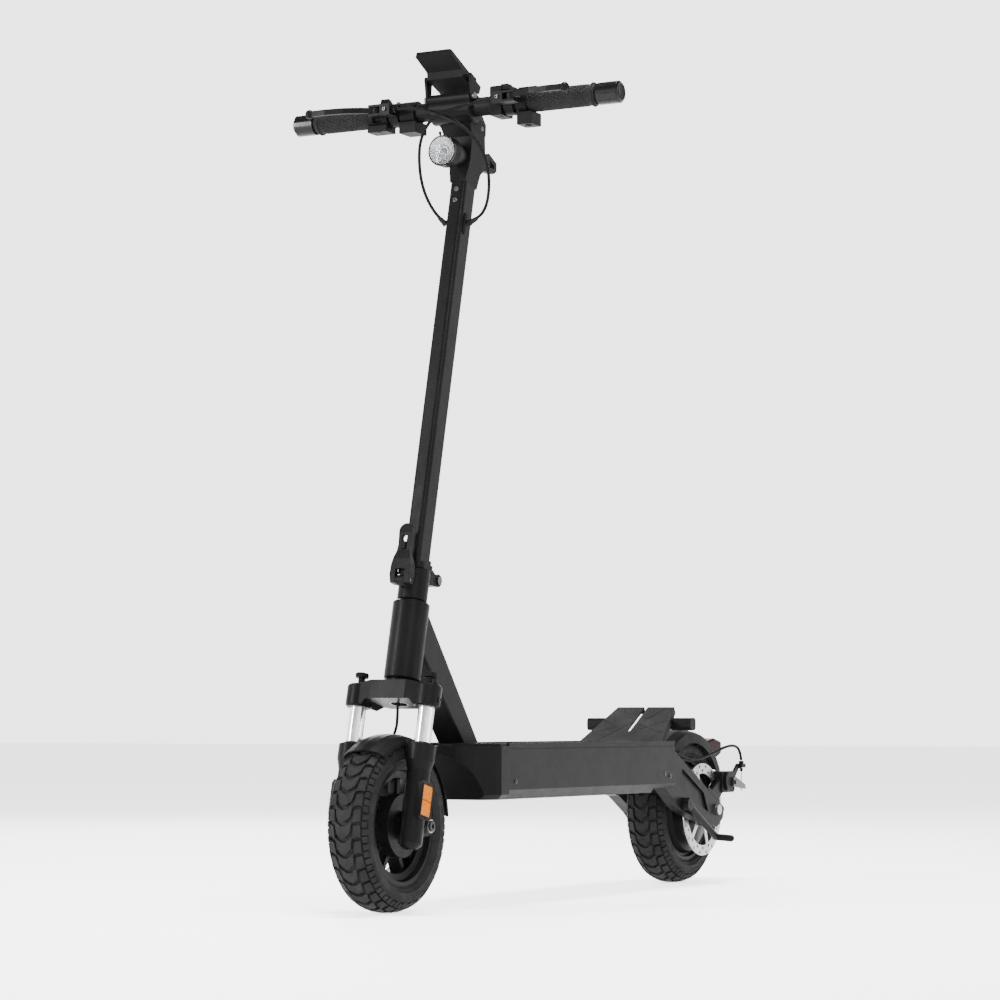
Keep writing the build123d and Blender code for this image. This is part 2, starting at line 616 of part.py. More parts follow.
def make_lever_mount():
    """The left perch: a clamp, an arm, the cable's barrel and a fork for the lever's root."""
    mount = clamp_ring((96, 112), CLAMP_R)
    arm = block((328, 350), (97, 111), (LEVER_Z - 8, LEVER_Z + 8))
    arm += block((340, 362), (93, 132), (LEVER_Z - 9, LEVER_Z + 9))
    arm += rod((352, 93, LEVER_Z), (352, 86, LEVER_Z), 5)
    arm -= cross_bar(BAR_X, BAR_Z, CLAMP_R - 1, (90, 140))
    pivot = (LEVER_PIVOT[0], LEVER_PIVOT[1])
    arm -= block((330, 370), (111, 140), (LEVER_GAP_Z[0] - RUNNING_GAP, LEVER_GAP_Z[1] + RUNNING_GAP))
    pin = rod((*pivot, LEVER_Z - 9), (*pivot, LEVER_Z + 9), 2.5)
    return mount + arm + pin


def make_brake_lever():
    """The left lever: a root on the pivot, a bent blade and a ball end."""
    route = [LEVER_PIVOT, (366, 142), (377, 168), (381, 200), (380, 226)]
    lever = rod((*route[0], LEVER_GAP_Z[0]), (*route[0], LEVER_GAP_Z[1]), 8)
    for start, end in zip(route, route[1:]):
        centre = ((start[0] + end[0]) / 2, (start[1] + end[1]) / 2, LEVER_Z)
        turn = math.degrees(math.atan2(end[1] - start[1], end[0] - start[0]))
        lever += Pos(*centre) * Rot(0, 0, turn) * Box(math.dist(start, end), 8, 9)
        lever += rod((*end, LEVER_Z - 4.5), (*end, LEVER_Z + 4.5), 4)
    lever += Pos(route[-1][0], route[-1][1] + 4, LEVER_Z) * Sphere(7.5)
    return lever - rod((*LEVER_PIVOT, LEVER_Z - 20), (*LEVER_PIVOT, LEVER_Z + 20), 2.5 + PIN_GAP)


PADDLE_Y = (-141.0, -126.0)


def make_throttle():
    """The right thumb throttle's housing, open for the paddle, and the switch pod beside the perch."""
    housing = clamp_ring((-151.5, -115), 21)
    housing += block((BAR_X - 12, BAR_X + 18), (-151, -116), (BAR_Z - 27, BAR_Z - 16))
    slot_y = (PADDLE_Y[0] - 0.4, PADDLE_Y[1] + 0.4)
    housing -= block((BAR_X - 40, BAR_X + 40), slot_y, (BAR_Z - 12, BAR_Z + 40))
    housing += cross_pipe(BAR_X, BAR_Z, 16, BAR_R + PIN_GAP, (-151.5, -115))
    pod = clamp_ring((-92, -66), CLAMP_R)
    pod += block((BAR_X - 20, BAR_X + 17), (-93, -63), (BAR_Z - 33, BAR_Z - 15))
    return housing, pod - cross_bar(BAR_X, BAR_Z, BAR_R + PIN_GAP, (-100, -50))


def make_paddle():
    paddle = cross_pipe(BAR_X, BAR_Z, 20.6, 16.35, PADDLE_Y)
    paddle -= block((BAR_X - 40, BAR_X + 40), (-200, 0), (BAR_Z - 40, BAR_Z + 1))
    tip = arc_points(BAR_X, BAR_Z, 19, -58, -12, 6) + arc_points(BAR_X, BAR_Z, 32, -14, -40, 4)
    paddle -= side_plate(arc_points(BAR_X, BAR_Z, 40, 35, 100, 4) + [(BAR_X, BAR_Z)], (-200, 0))
    return paddle + side_plate(tip, PADDLE_Y)


def make_switch_box():
    box = block((BAR_X - 20, BAR_X + 20), (74, 94), (BAR_Z - 20, BAR_Z + 27))
    box += block((BAR_X - 18, BAR_X + 18), (74, 107), (BAR_Z + 19.8, BAR_Z + 27))
    box = fillet(box.edges().group_by(Axis.Z)[-1], 3)
    box -= block((BAR_X - 8, BAR_X + 8), (82, 104), (BAR_Z + 24, BAR_Z + 30))
    return box - cross_bar(BAR_X, BAR_Z, BAR_R + PIN_GAP, (60, 110))


def make_indicator_switch():
    return block((BAR_X - 7.6, BAR_X + 7.6), (87, 99), (BAR_Z + 24.2, BAR_Z + 31))


def make_horn():
    horn = clamp_ring((120, 135.7), CLAMP_R)
    horn += block((BAR_X - 17, BAR_X + 16), (120, 146), (BAR_Z - 38, BAR_Z - 18))
    horn += block((BAR_X - 12, BAR_X + 12), (121, 152), (BAR_Z + 18.6, BAR_Z + 21.5))
    return horn - cross_bar(BAR_X, BAR_Z, BAR_R + PIN_GAP, (110, 160))


TILT_S = 812.0
TILT_T = 73.0
TILT_PIN_R = 4.0
DISPLAY_SLOPE = 9.9
DISPLAY_LENGTH = 110.6
DISPLAY_HALF = 32.0


def display_frame():
    """A frame on the display's rear top edge: local x runs forward along the glass."""
    return STEER * Pos(34, 0, 844) * Rot(0, -DISPLAY_SLOPE, 0)


def make_display():
    outline = [(0, 0), (DISPLAY_LENGTH, 0), (DISPLAY_LENGTH, -7), (67, -9), (61, -19), (5, -15), (0, -9)]
    case = side_plate(outline, (-DISPLAY_HALF, DISPLAY_HALF))
    case = fillet(case.edges().filter_by(Axis.Z), 4)
    glass = block((6, DISPLAY_LENGTH - 6), (-28, 28), (-1.6, 0))
    case = display_frame() * (case - glass)
    for side in (-1, 1):
        arm = side_plate([(TILT_T - 5.5, TILT_S), (TILT_T + 5.5, TILT_S), (90, 841), (90, 845), (71, 842)],
                         (min(side * 38.4, side * 42.4), max(side * 38.4, side * 42.4)))
        arm += cross_bar(TILT_T, TILT_S, 5.5, (side * 38.4, side * 42.4))
        arm += block((72, 90), (side * 24, side * 42.4), (838, 843))
        arm -= cross_bar(TILT_T, TILT_S, TILT_PIN_R + PIN_GAP, (-50, 50))
        case += STEER * arm
    return case, display_frame() * glass


CABLE_R = 2.5
RIGHT_LEVER_CABLE = [
    (352, -85.7, 1262), (353, -68, 1262), (354, -46, 1258), (355, -20, 1251), (355, 8, 1241), (353, 34, 1225),
    (350, 56, 1204), (346, 69, 1181), (340, 74, 1158), (333, 73, 1135), (323, 66, 1113), (310, 54, 1098),
    (299, 38, 1087), (299, 20, 1079),
]
LEFT_LEVER_CABLE = [
    (352, 85.7, 1262), (357, 68, 1259), (363, 49, 1254), (368, 29, 1249), (371, 9, 1244), (371, -9, 1236),
    (368, -25, 1220), (363, -36, 1199), (356, -41, 1176), (347, -44, 1153), (338, -43, 1130),
    (328, -38, 1109), (317, -30, 1091), (309, -20, 1079),
]


def cable(points, radius):
    """A cable along straight runs joined by arcs as large as the runs allow."""
    corners = [Vector(point) for point in points]
    radii = []
    for before, corner, after in zip(corners, corners[1:], corners[2:]):
        half_turn = math.radians((corner - before).get_angle(after - corner)) / 2
        shorter = min((corner - before).length, (after - corner).length)
        radii.append(0.45 * shorter / math.tan(half_turn))
    path = FilletPolyline(*corners, radius=radii)
    section = Plane(origin=corners[0], z_dir=path % 0) * Circle(radius)
    swept = sweep(section, path=path)
    print("cable", round(path.length), "mm, volume ratio",
          round(swept.volume / (math.pi * radius ** 2 * path.length), 4), "radii", [round(r) for r in radii])
    return swept


def make_stem():
    head = STEER * make_stem_head()
    node("stem_base", STEER * make_stem_base())
    tube = stem_section(STEM_SIZE, STEM_CORNER, (STEM_START_S, STEM_END))
    inner = (STEM_SIZE[0] - 2 * STEM_WALL, STEM_SIZE[1] - 2 * STEM_WALL)
    tube -= stem_section(inner, STEM_CORNER - STEM_WALL, (STEM_START_S, STEM_END))
    node("stem_tube", STEER * tube)
    node("stem_head", head)
    node("stem_hook", STEER * make_stem_hook())
    node("handlebar", cross_pipe(BAR_X, BAR_Z, BAR_R, BAR_R - 2.5, (-258, 258)))
    node("grips", *make_grips())
    node("bar_end_caps", both_sides(make_end_cap()))
    housing, lens = make_headlight(head)
    node("headlight_housing", housing)
    node("headlight_lens", lens)
    node("lever_mounts", both_sides(make_lever_mount()))
    node("throttle_housing", *make_throttle())
    node("switch_box", make_switch_box())
    node("horn", make_horn())
    pivot = cross_bar(TILT_T, TILT_S, TILT_PIN_R, (28, 42.6)) + cross_bar(TILT_T, TILT_S, 5.8, (42.6, 45))
    node("display_mount", [STEER * part for part in both_sides(pivot)])
    node("brake_cables", cable(RIGHT_LEVER_CABLE, CABLE_R), cable(LEFT_LEVER_CABLE, CABLE_R))
    case, glass = make_display()
    node("display_case", case)
    node("display_screen", glass)
    lever = make_brake_lever()
    node("brake_lever_left", lever)
    node("brake_lever_right", mirrored(lever))
    node("throttle_paddle", make_paddle())
    node("indicator_switch", make_indicator_switch())


# ---------------------------------------------------------------- swing arm and rear wheel

ARM_OUTER_Y = 86.5
ARM_INNER_Y = 64.0
ARM_TOP_FRONT = (-325.0, 238.0)
ARM_TOP_REAR = (-531.0, 138.0)
ROTOR_R = 82.0
ROTOR_Y = (58.0, 60.0)
MOTOR_HALF_WIDTH = 50.0
REAR_FENDER_OUTLINE = [
    (143, 0), (142, 22), (138.5, 35), (136, 41.5), (118, 43.5),
    (118, 41), (134, 39), (136, 33.5), (139.3, 21), (140.3, 0),
]
STAND_PIVOT = (-358.0, 144.0)
STAND_ELBOW = (-476.0, 83.0)
TAIL_HALF_WIDTH = 26.0


def arm_top(x, lift):
    """The height of the arms' top edge at x, plus a lift."""
    slope = (ARM_TOP_FRONT[1] - ARM_TOP_REAR[1]) / (ARM_TOP_FRONT[0] - ARM_TOP_REAR[0])
    return ARM_TOP_FRONT[1] + (x - ARM_TOP_FRONT[0]) * slope + lift


def make_swing_arm():
    left = [(PIVOT_X, 219), (-300, 236), ARM_TOP_FRONT, ARM_TOP_REAR, (-522, 115), (-498, 100), (-465, 104),
            (-348, 133), (-335, 140), (-302, 160), (PIVOT_X, 179)]
    right = [(PIVOT_X, 219), (-300, 236), ARM_TOP_FRONT, ARM_TOP_REAR, (-522, 115), (-498, 106), (-470, 124),
             (-409, 155), (-340, 168), (-302, 170), (PIVOT_X, 179)]
    pocket = [(-330, 178), (-352, 205), (-440, 162), (-460, 128), (-360, 158)]
    left_arm = side_plate(left, (ARM_INNER_Y, ARM_OUTER_Y))
    left_arm = chamfer(left_arm.edges().sort_by(Axis.Y).filter_by(
        lambda edge: edge.center().Y > ARM_OUTER_Y - 0.1 and edge.length > 100 and edge.center().Z > 170), 5)
    left_arm -= side_plate(pocket, (ARM_OUTER_Y - 4, ARM_OUTER_Y + 1))
    right_arm = side_plate(right, (-ARM_OUTER_Y, -ARM_INNER_Y))
    arms = left_arm + right_arm + cross_bar(PIVOT_X, PIVOT_Z, CROSS_TUBE_R, (-ARM_OUTER_Y, ARM_OUTER_Y))
    arms -= cross_bar(PIVOT_X, PIVOT_Z, PIVOT_SHAFT_R + PIN_GAP, (-100, 100))
    arms -= cross_bar(REAR_X, TYRE_R, AXLE_R + PIN_GAP, (-100, 100))
    return arms - cross_bar(*STAND_PIVOT, 5 + PIN_GAP, (70, 100))


def make_rear_fender():
    fender = curved_band(full_section(REAR_FENDER_OUTLINE), REAR_X, TYRE_R, -60, 46)
    stay = side_plate(
        [(-432, 236), (-408, 228), (-400, arm_top(-400, 3)), (-430, arm_top(-430, 1))], (43, 46))
    foot = side_plate([(-400, arm_top(-400, 0.05)), (-430, arm_top(-430, 0.05)), (-430, arm_top(-430, 3)),
                       (-400, arm_top(-400, 3))], (43, 80))
    mount = stay + foot
    return fender + mount + mirrored(mount)


def make_tail_light():
    outline = [(-651, 231), (-651, 252), (-625, 257), (-580, 250), (-590, 225), (-630, 222)]
    light = side_plate(outline, (-TAIL_HALF_WIDTH, TAIL_HALF_WIDTH))
    light = chamfer(light.edges().filter_by(
        lambda edge: abs(abs(edge.center().Y) - TAIL_HALF_WIDTH) < 0.1 and edge.center().X > -640), 3)
    return light - cross_bar(REAR_X, TYRE_R, 143.05, (-40, 40))


def make_caliper():
    body = block((-602, -545), (45, 75), (160, 198))
    body = chamfer(body.edges().filter_by(Axis.Y), 5)
    plate = [(-480, arm_top(-480, 5)), (-480, arm_top(-480, 0.05)), (-528, arm_top(-528, 0.05)), (-560, 164),
             (-590, 168), (-590, 186), (-548, 186), (-510, 166)]
    body += cross_bar(-570, 180, 17, (62, 80))
    body += side_plate(plate, (66, 72))
    body += side_plate([(-470, arm_top(-470, 0.05)), (-520, arm_top(-520, 0.05)), (-520, arm_top(-520, 5)),
                        (-470, arm_top(-470, 5))], (65, 82))
    stop = [(-600, 182), (-600, 198), (-616, 211), (-634, 211), (-634, 204), (-620, 202)]
    body += side_plate(stop, (71, 75)) + block((-634, -618), (71, 83), (204, 211))
    body += rod((-627, 77, 211), (-627, 77, 216), 4.5)
    body -= cross_bar(REAR_X, TYRE_R, ROTOR_R + 3, (ROTOR_Y[0] - 1.5, ROTOR_Y[1] + 1.5))
    body -= rod((-627, 77, 200), (-627, 77, 217), 1.5)
    return body - cross_bar(-585, 178, 4 + PIN_GAP, (65, 81))


def make_caliper_arm():
    arm = side_plate(
        [(-577, 171), (-577, 186), (-590, 187), (-630, 173), (-632, 165), (-592, 169)], (80.4, 84))
    return arm + cross_bar(-585, 178, 4, (67, 87)) + cross_bar(-627, 169.5, 4, (74, 80.4))


REAR_CABLE = [
    (-252, 50, 224), (-285, 51, 233), (-322, 54, 239), (-362, 58, 236), (-402, 62, 226), (-442, 65, 219),
    (-482, 68, 223), (-522, 71, 232), (-562, 74, 242), (-598, 76, 245), (-622, 77, 236), (-627, 77, 217.5),
]
FRONT_CABLE = [
    (6, 0, -154), (-7, -3, -184), (-20, -13, -199), (-40, -29, -204), (-62, -41, -217), (-83, -46, -242),
    (-95, -47, -273), (-93, -47, -305), (-67, -46.5, -331),
]


def make_motor():
    half = [(RIM_R, 28), (85, 28), (83, 23), (79, 24), (74, 34), (60, 42), (40, 47), (24, MOTOR_HALF_WIDTH),
            (AXLE_R + 0.1, MOTOR_HALF_WIDTH)]
    motor = turned(both_sides_outline(half), REAR_X, TYRE_R)
    return motor - turned([(70, 20), (70, -20), (45, -26), (45, 26)], REAR_X, TYRE_R)


def make_rotor():
    ring = cross_pipe(REAR_X, TYRE_R, ROTOR_R, 64, ROTOR_Y) + cross_pipe(REAR_X, TYRE_R, 26, 10, ROTOR_Y)
    ring += cross_pipe(REAR_X, TYRE_R, 22, 10, (MOTOR_HALF_WIDTH, ROTOR_Y[1]))
    for step in range(6):
        arm = Pos(REAR_X, 59, TYRE_R) * Rot(0, step * 60, 0) * Pos(14, 0, 45) * Rot(0, 18, 0) * Box(9, 2, 46)
        ring += arm
    for step in range(36):
        angle = math.radians(step * 10)
        reach = 69 + 8 * (step % 2)
        ring -= cross_bar(REAR_X + reach * math.sin(angle), TYRE_R + reach * math.cos(angle), 3.0, (50, 70))
    return ring


def make_kickstand():
    elbow = (STAND_ELBOW[0], 94, STAND_ELBOW[1])
    foot = (STAND_ELBOW[0] - 2, 122, STAND_ELBOW[1] - 2)
    stand = cross_bar(*STAND_PIVOT, 11, (ARM_OUTER_Y + 0.4, 99)) + cross_bar(*STAND_PIVOT, 5, (70, 90))
    stand += rod((STAND_PIVOT[0], 93.5, STAND_PIVOT[1]), elbow, 6)
    return stand + Pos(*elbow) * Sphere(6) + rod(elbow, foot, 6) + Pos(*foot) * Sphere(6)


def make_rear_axle():
    axle = cross_bar(REAR_X, TYRE_R, AXLE_R, (-ARM_OUTER_Y, ARM_OUTER_Y))
    axle += cross_pipe(REAR_X, TYRE_R, 9, 5, (60.5, ARM_INNER_Y))
    axle += cross_pipe(REAR_X, TYRE_R, 9, 5, (-ARM_INNER_Y, -MOTOR_HALF_WIDTH - 0.5))
    for side in (-1, 1):
        nut = Plane(origin=(REAR_X, side * ARM_OUTER_Y, TYRE_R), z_dir=(0, side, 0)) * extrude(
            RegularPolygon(10, 6), amount=7)
        axle += nut
    return axle


def make_swing():
    node("swing_arm", make_swing_arm())
    node("rear_fender", make_rear_fender())
    node("tail_light", make_tail_light())
    node("caliper", make_caliper())
    node("caliper_arm", make_caliper_arm())
    node("rear_axle", make_rear_axle())
    node("rear_tyre", make_tyre(REAR_X, RIM_R + PIN_GAP))
    node("hub_motor", make_motor())
    node("brake_rotor", make_rotor())
    node("kickstand", make_kickstand())
    node("rear_brake_cable", cable(REAR_CABLE, CABLE_R))
    node("front_brake_cable", cable([steer_point(*point) for point in FRONT_CABLE], 2.25))


make_frame()
make_steering()
make_fork_lowers()
make_stem()
make_swing()
os.makedirs("parts", exist_ok=True)
for name, solids in NODES.items():
    export_step(Compound(solids) if len(solids) > 1 else solids[0], f"parts/{name}.step")
print(len(NODES), "nodes")
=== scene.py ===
import json
import math

import bmesh
import bpy
from mathutils import Matrix, Vector


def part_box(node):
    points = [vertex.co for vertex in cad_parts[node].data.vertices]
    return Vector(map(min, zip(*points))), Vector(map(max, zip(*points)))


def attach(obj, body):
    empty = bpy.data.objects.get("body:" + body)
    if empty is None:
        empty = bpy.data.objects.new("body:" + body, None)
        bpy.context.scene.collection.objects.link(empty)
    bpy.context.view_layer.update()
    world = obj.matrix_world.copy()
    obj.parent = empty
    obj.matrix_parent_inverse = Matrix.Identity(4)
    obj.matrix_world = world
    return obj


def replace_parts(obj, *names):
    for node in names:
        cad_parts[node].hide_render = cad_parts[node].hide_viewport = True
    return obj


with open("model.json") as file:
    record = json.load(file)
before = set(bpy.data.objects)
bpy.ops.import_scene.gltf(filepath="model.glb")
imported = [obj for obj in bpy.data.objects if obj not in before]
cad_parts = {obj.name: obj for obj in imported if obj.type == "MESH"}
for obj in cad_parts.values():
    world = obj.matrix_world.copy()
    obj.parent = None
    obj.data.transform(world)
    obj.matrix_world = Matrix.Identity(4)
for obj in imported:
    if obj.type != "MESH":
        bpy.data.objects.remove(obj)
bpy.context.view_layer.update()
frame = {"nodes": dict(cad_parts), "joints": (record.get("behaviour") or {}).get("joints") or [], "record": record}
NODES = frame["nodes"]
SLOT_OF = {part["node"]: part["material_slot"] for part in frame["record"]["subparts"]}
JOINTS = {joint["name"]: joint for joint in frame["joints"]}
MM = 0.001

# The steering axis and its forward direction, from the steering joint
STEER_AXIS = Vector(JOINTS["steering_turn"]["axis"]).normalized()
STEER_FORWARD = Vector((STEER_AXIS.z, 0, -STEER_AXIS.x))
HEAD = Vector(JOINTS["steering_turn"]["pos_m"])
SIDE = Vector((0, 1, 0))


def steer_point(t, y, s):
    """A point given forward of the steering axis, across, and up along it, in millimetres."""
    return HEAD + STEER_FORWARD * (t * MM) + SIDE * (y * MM) + STEER_AXIS * (s * MM)


# ---------------------------------------------------------------- materials

class Shader:
    """A node material with object coordinates, built up from noise, bump and ramps."""

    def __init__(self, name):
        self.material = bpy.data.materials.new(name)
        self.material.use_nodes = True
        self.tree = self.material.node_tree
        self.bsdf = self.tree.nodes["Principled BSDF"]
        self.place = self.tree.nodes.new("ShaderNodeTexCoord").outputs["Object"]

    def link(self, source, target):
        self.tree.links.new(source, target)

    def noise(self, scale, detail=4.0, rough=0.55, stretch=(1, 1, 1)):
        mapping = self.tree.nodes.new("ShaderNodeMapping")
        mapping.inputs["Scale"].default_value = stretch
        self.link(self.place, mapping.inputs["Vector"])
        noise = self.tree.nodes.new("ShaderNodeTexNoise")
        noise.inputs["Scale"].default_value = scale
        noise.inputs["Detail"].default_value = detail
        noise.inputs["Roughness"].default_value = rough
        self.link(mapping.outputs["Vector"], noise.inputs["Vector"])
        return noise.outputs["Fac"]

    def cells(self, scale):
        cells = self.tree.nodes.new("ShaderNodeTexVoronoi")
        cells.inputs["Scale"].default_value = scale
        self.link(self.place, cells.inputs["Vector"])
        return cells.outputs["Distance"]

    def ramp(self, value, stops):
        ramp = self.tree.nodes.new("ShaderNodeValToRGB")
        elements = ramp.color_ramp.elements
        while len(elements) < len(stops):
            elements.new(0.5)
        for element, (position, colour) in zip(elements, stops):
            element.position = position
            element.color = (*colour, 1)
        self.link(value, ramp.inputs["Fac"])
        return ramp.outputs["Color"]

    def spread(self, value, low, high, start=0.3, end=0.7):
        fit = self.tree.nodes.new("ShaderNodeMapRange")
        fit.inputs["From Min"].default_value = start
        fit.inputs["From Max"].default_value = end
        fit.inputs["To Min"].default_value = low
        fit.inputs["To Max"].default_value = high
        self.link(value, fit.inputs["Value"])
        return fit.outputs["Result"]

    def bump(self, heights, edge=0.0):
        """Stacks (value, distance in metres) bumps; edge rounds corners by that radius."""
        normal = None
        if edge:
            bevel = self.tree.nodes.new("ShaderNodeBevel")
            bevel.samples = 4
            bevel.inputs["Radius"].default_value = edge
            normal = bevel.outputs["Normal"]
        for value, distance in heights:
            bump = self.tree.nodes.new("ShaderNodeBump")
            bump.inputs["Distance"].default_value = distance
            bump.inputs["Strength"].default_value = 1.0
            self.link(value, bump.inputs["Height"])
            if normal:
                self.link(normal, bump.inputs["Normal"])
            normal = bump.outputs["Normal"]
        self.link(normal, self.bsdf.inputs["Normal"])

    def set(self, **values):
        for name, value in values.items():
            self.bsdf.inputs[name.replace("_", " ")].default_value = value


# Radii in metres that round a finish's edges in its shading
COATED_EDGE = 0.0006
METAL_EDGE = 0.0004


def coated(name, dark, light, rough, grain, depth, shine=0.3):
    """Painted or moulded surfaces: colour mottling, uneven gloss and a fine grain."""
    shader = Shader(name)
    shader.set(Specular_IOR_Level=shine)
    patches = shader.noise(9, 5)
    shader.link(shader.ramp(patches, [(0.3, dark), (0.7, light)]), shader.bsdf.inputs["Base Color"])
    smudges = shader.noise(35, 6, 0.65)
    shader.link(shader.spread(smudges, rough - 0.06, rough + 0.08), shader.bsdf.inputs["Roughness"])
    shader.bump([(shader.noise(grain, 2), depth), (shader.noise(60, 3), depth * 0.6)], COATED_EDGE)
    return shader.material


def rubber(name, dark, light, grain, depth):
    shader = Shader(name)
    dust = shader.noise(26, 8, 0.7)
    shader.link(shader.ramp(dust, [(0.35, dark), (0.72, light)]), shader.bsdf.inputs["Base Color"])
    shader.link(shader.spread(shader.noise(120, 4), 0.58, 0.8), shader.bsdf.inputs["Roughness"])
    shader.bump([(shader.noise(grain, 3), depth)], 0.0005)
    shader.set(Specular_IOR_Level=0.07)
    return shader.material


def grip_tape(name):
    """Sandpaper-like deck covering: a dense grit with brighter specks."""
    shader = Shader(name)
    grit = shader.cells(1500)
    shader.link(shader.ramp(grit, [(0.1, (0.016, 0.016, 0.017)), (0.55, (0.005, 0.005, 0.0055))]),
                shader.bsdf.inputs["Base Color"])
    shader.link(shader.spread(shader.noise(20, 5), 0.7, 0.92), shader.bsdf.inputs["Roughness"])
    shader.bump([(grit, 0.0004), (shader.noise(900, 3), 0.0003)])
    shader.set(Specular_IOR_Level=0.08)
    return shader.material


def metal(name, dark, light, rough, stretch, depth):
    """Bare metal with brushing along one direction."""
    shader = Shader(name)
    brushing = shader.noise(240, 6, 0.6, stretch)
    shader.link(shader.ramp(brushing, [(0.3, dark), (0.7, light)]), shader.bsdf.inputs["Base Color"])
    shader.link(shader.spread(brushing, rough - 0.05, rough + 0.08), shader.bsdf.inputs["Roughness"])
    shader.bump([(brushing, depth)], METAL_EDGE)
    shader.set(Metallic=1.0)
    return shader.material


def lens(name, dark, light, cell, painted_glow):
    """A moulded reflector or lamp lens with a prism pattern under a smooth face; its emission is a faint painted
    glow in the prism colours.
    """
    shader = Shader(name)
    prisms = shader.cells(cell)
    shader.link(shader.ramp(prisms, [(0.0, light), (0.75, dark)]), shader.bsdf.inputs["Base Color"])
    shader.link(shader.spread(prisms, 0.12, 0.3, 0.0, 1.0), shader.bsdf.inputs["Roughness"])
    shader.bump([(prisms, 0.0003)], 0.0004)
    # painted glow: the lens gives off its own prism colours as light, so it shines faintly though unlit
    shader.link(shader.ramp(prisms, [(0.0, light), (0.75, dark)]), shader.bsdf.inputs["Emission Color"])
    shader.set(Emission_Strength=painted_glow, Specular_IOR_Level=0.02)
    return shader.material


def clear_glass(name):
    shader = Shader(name)
    ripple = shader.noise(90, 2)
    shader.link(shader.ramp(ripple, [(0.3, (0.93, 0.95, 0.96)), (0.7, (0.98, 0.99, 1.0))]),
                shader.bsdf.inputs["Base Color"])
    shader.link(shader.spread(ripple, 0.02, 0.07), shader.bsdf.inputs["Roughness"])
    shader.bump([(ripple, 0.00001)])
    shader.set(Transmission_Weight=0.97, IOR=1.2)
    return shader.material


def screen(name):
    shader = Shader(name)
    film = shader.noise(300, 4, 0.5)
    shader.link(shader.ramp(film, [(0.3, (0.004, 0.004, 0.006)), (0.7, (0.010, 0.010, 0.013))]),
                shader.bsdf.inputs["Base Color"])
    shader.link(shader.spread(shader.noise(45, 6), 0.06, 0.16), shader.bsdf.inputs["Roughness"])
    shader.bump([(film, 0.00002)], 0.0003)
    shader.set(Coat_Weight=1.0, Coat_Roughness=0.03)
    return shader.material


def floor_surface(name):
    shader = Shader(name)
    shade = shader.noise(3, 3)
    shader.link(shader.ramp(shade, [(0.3, (0.80, 0.80, 0.80)), (0.7, (0.83, 0.83, 0.83))]),
                shader.bsdf.inputs["Base Color"])
    shader.link(shader.spread(shade, 0.55, 0.7), shader.bsdf.inputs["Roughness"])
    shader.set(Emission_Color=(1, 1, 1, 1), Emission_Strength=2.0, Specular_IOR_Level=0.1)
    return shader.material


DEEP_BLACK = (0.0026, 0.0026, 0.0028)
WORN_BLACK = (0.0046, 0.0046, 0.0049)


def black(name, rough, grain, depth, shine):
    return coated(name, DEEP_BLACK, WORN_BLACK, rough, grain, depth, shine)


MATERIALS = {
    "black_aluminium": black("satin_black", 0.34, 1400, 0.00004, 0.035),
    "black_paint": black("powder_black", 0.40, 1100, 0.00008, 0.035),
    "black_plastic": black("moulded_black", 0.46, 900, 0.00010, 0.03),
    "gloss_black": black("gloss_black", 0.20, 700, 0.00002, 0.12),
    "grip_rubber": rubber("grip_rubber", (0.0045, 0.0045, 0.0045), (0.009, 0.009, 0.009), 1000, 0.00008),
    "tyre_rubber": rubber("tyre_rubber", (0.0045, 0.0045, 0.0045), (0.012, 0.0117, 0.0113), 700, 0.00015),
    "polished_steel": metal(
        "polished_steel", (0.55, 0.55, 0.56), (0.75, 0.75, 0.76), 0.13, (1, 1, 0.05), 0.00001),
    "steel": metal("brushed_steel", (0.20, 0.20, 0.205), (0.36, 0.36, 0.37), 0.30, (1, 1, 1), 0.00003),
    "dark_steel": metal("dark_steel", (0.035, 0.035, 0.037), (0.07, 0.07, 0.073), 0.36, (1, 1, 1), 0.00003),
    # the last number of each lens is the strength of its painted glow
    "amber_lens": lens("amber_lens", (0.22, 0.050, 0.0), (0.42, 0.13, 0.0), 420, 0.02),
    "red_lens": lens("red_lens", (0.006, 0.0003, 0.0003), (0.016, 0.0006, 0.0006), 380, 0.01),
    "clear_lens": clear_glass("clear_lens"),
    "screen_glass": screen("screen_glass"),
    "battery_wrap": coated("battery_wrap", (0.03, 0.08, 0.24), (0.04, 0.10, 0.30), 0.22, 300, 0.00003),
    "grip_tape": grip_tape("grip_tape"),
}
SHOWN_WITH = {"deck_mat": "grip_tape", "kickplate": "grip_tape", "bar_end_caps": "gloss_black",
              "rear_indicators": "black_plastic", "fold_pins": "dark_steel", "display_mount": "dark_steel",
              "pivot_shaft": "dark_steel", "caliper_arm": "dark_steel", "brake_rotor": "steel",
              "steerer_tube": "dark_steel", "fold_catch": "black_plastic"}


def paint_cad():
    """Gives every CAD node the finish of its material slot."""
    for name, obj in NODES.items():
        obj.data.materials.clear()
        obj.data.materials.append(MATERIALS[SHOWN_WITH.get(name, SLOT_OF[name])])


# ---------------------------------------------------------------- mesh tools

def piece(name, vertices, faces, body, look, smooth=35):
    """Makes a mesh, rides it on a body and gives it a finish; smooth is the sharp-edge angle."""
    mesh = bpy.data.meshes.new(name)
    mesh.from_pydata([tuple(v) for v in vertices], [], faces)
    mesh.validate()
    work = bmesh.new()
    work.from_mesh(mesh)
    bmesh.ops.recalc_face_normals(work, faces=work.faces)
    work.to_mesh(mesh)
    work.free()
    mesh.polygons.foreach_set("use_smooth", [True] * len(mesh.polygons))
    mesh.set_sharp_from_angle(angle=math.radians(smooth))
    obj = bpy.data.objects.new(name, mesh)
    bpy.context.scene.collection.objects.link(obj)
    mesh.materials.append(MATERIALS[look])
    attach(obj, body)
    return obj


def basis(axis):
    """Two directions at right angles to an axis."""
    axis = Vector(axis).normalized()
    first = Vector((0, 0, 1)) if abs(axis.z) < 0.9 else Vector((1, 0, 0))
    first = (first - axis * first.dot(axis)).normalized()
    return first, axis.cross(first)


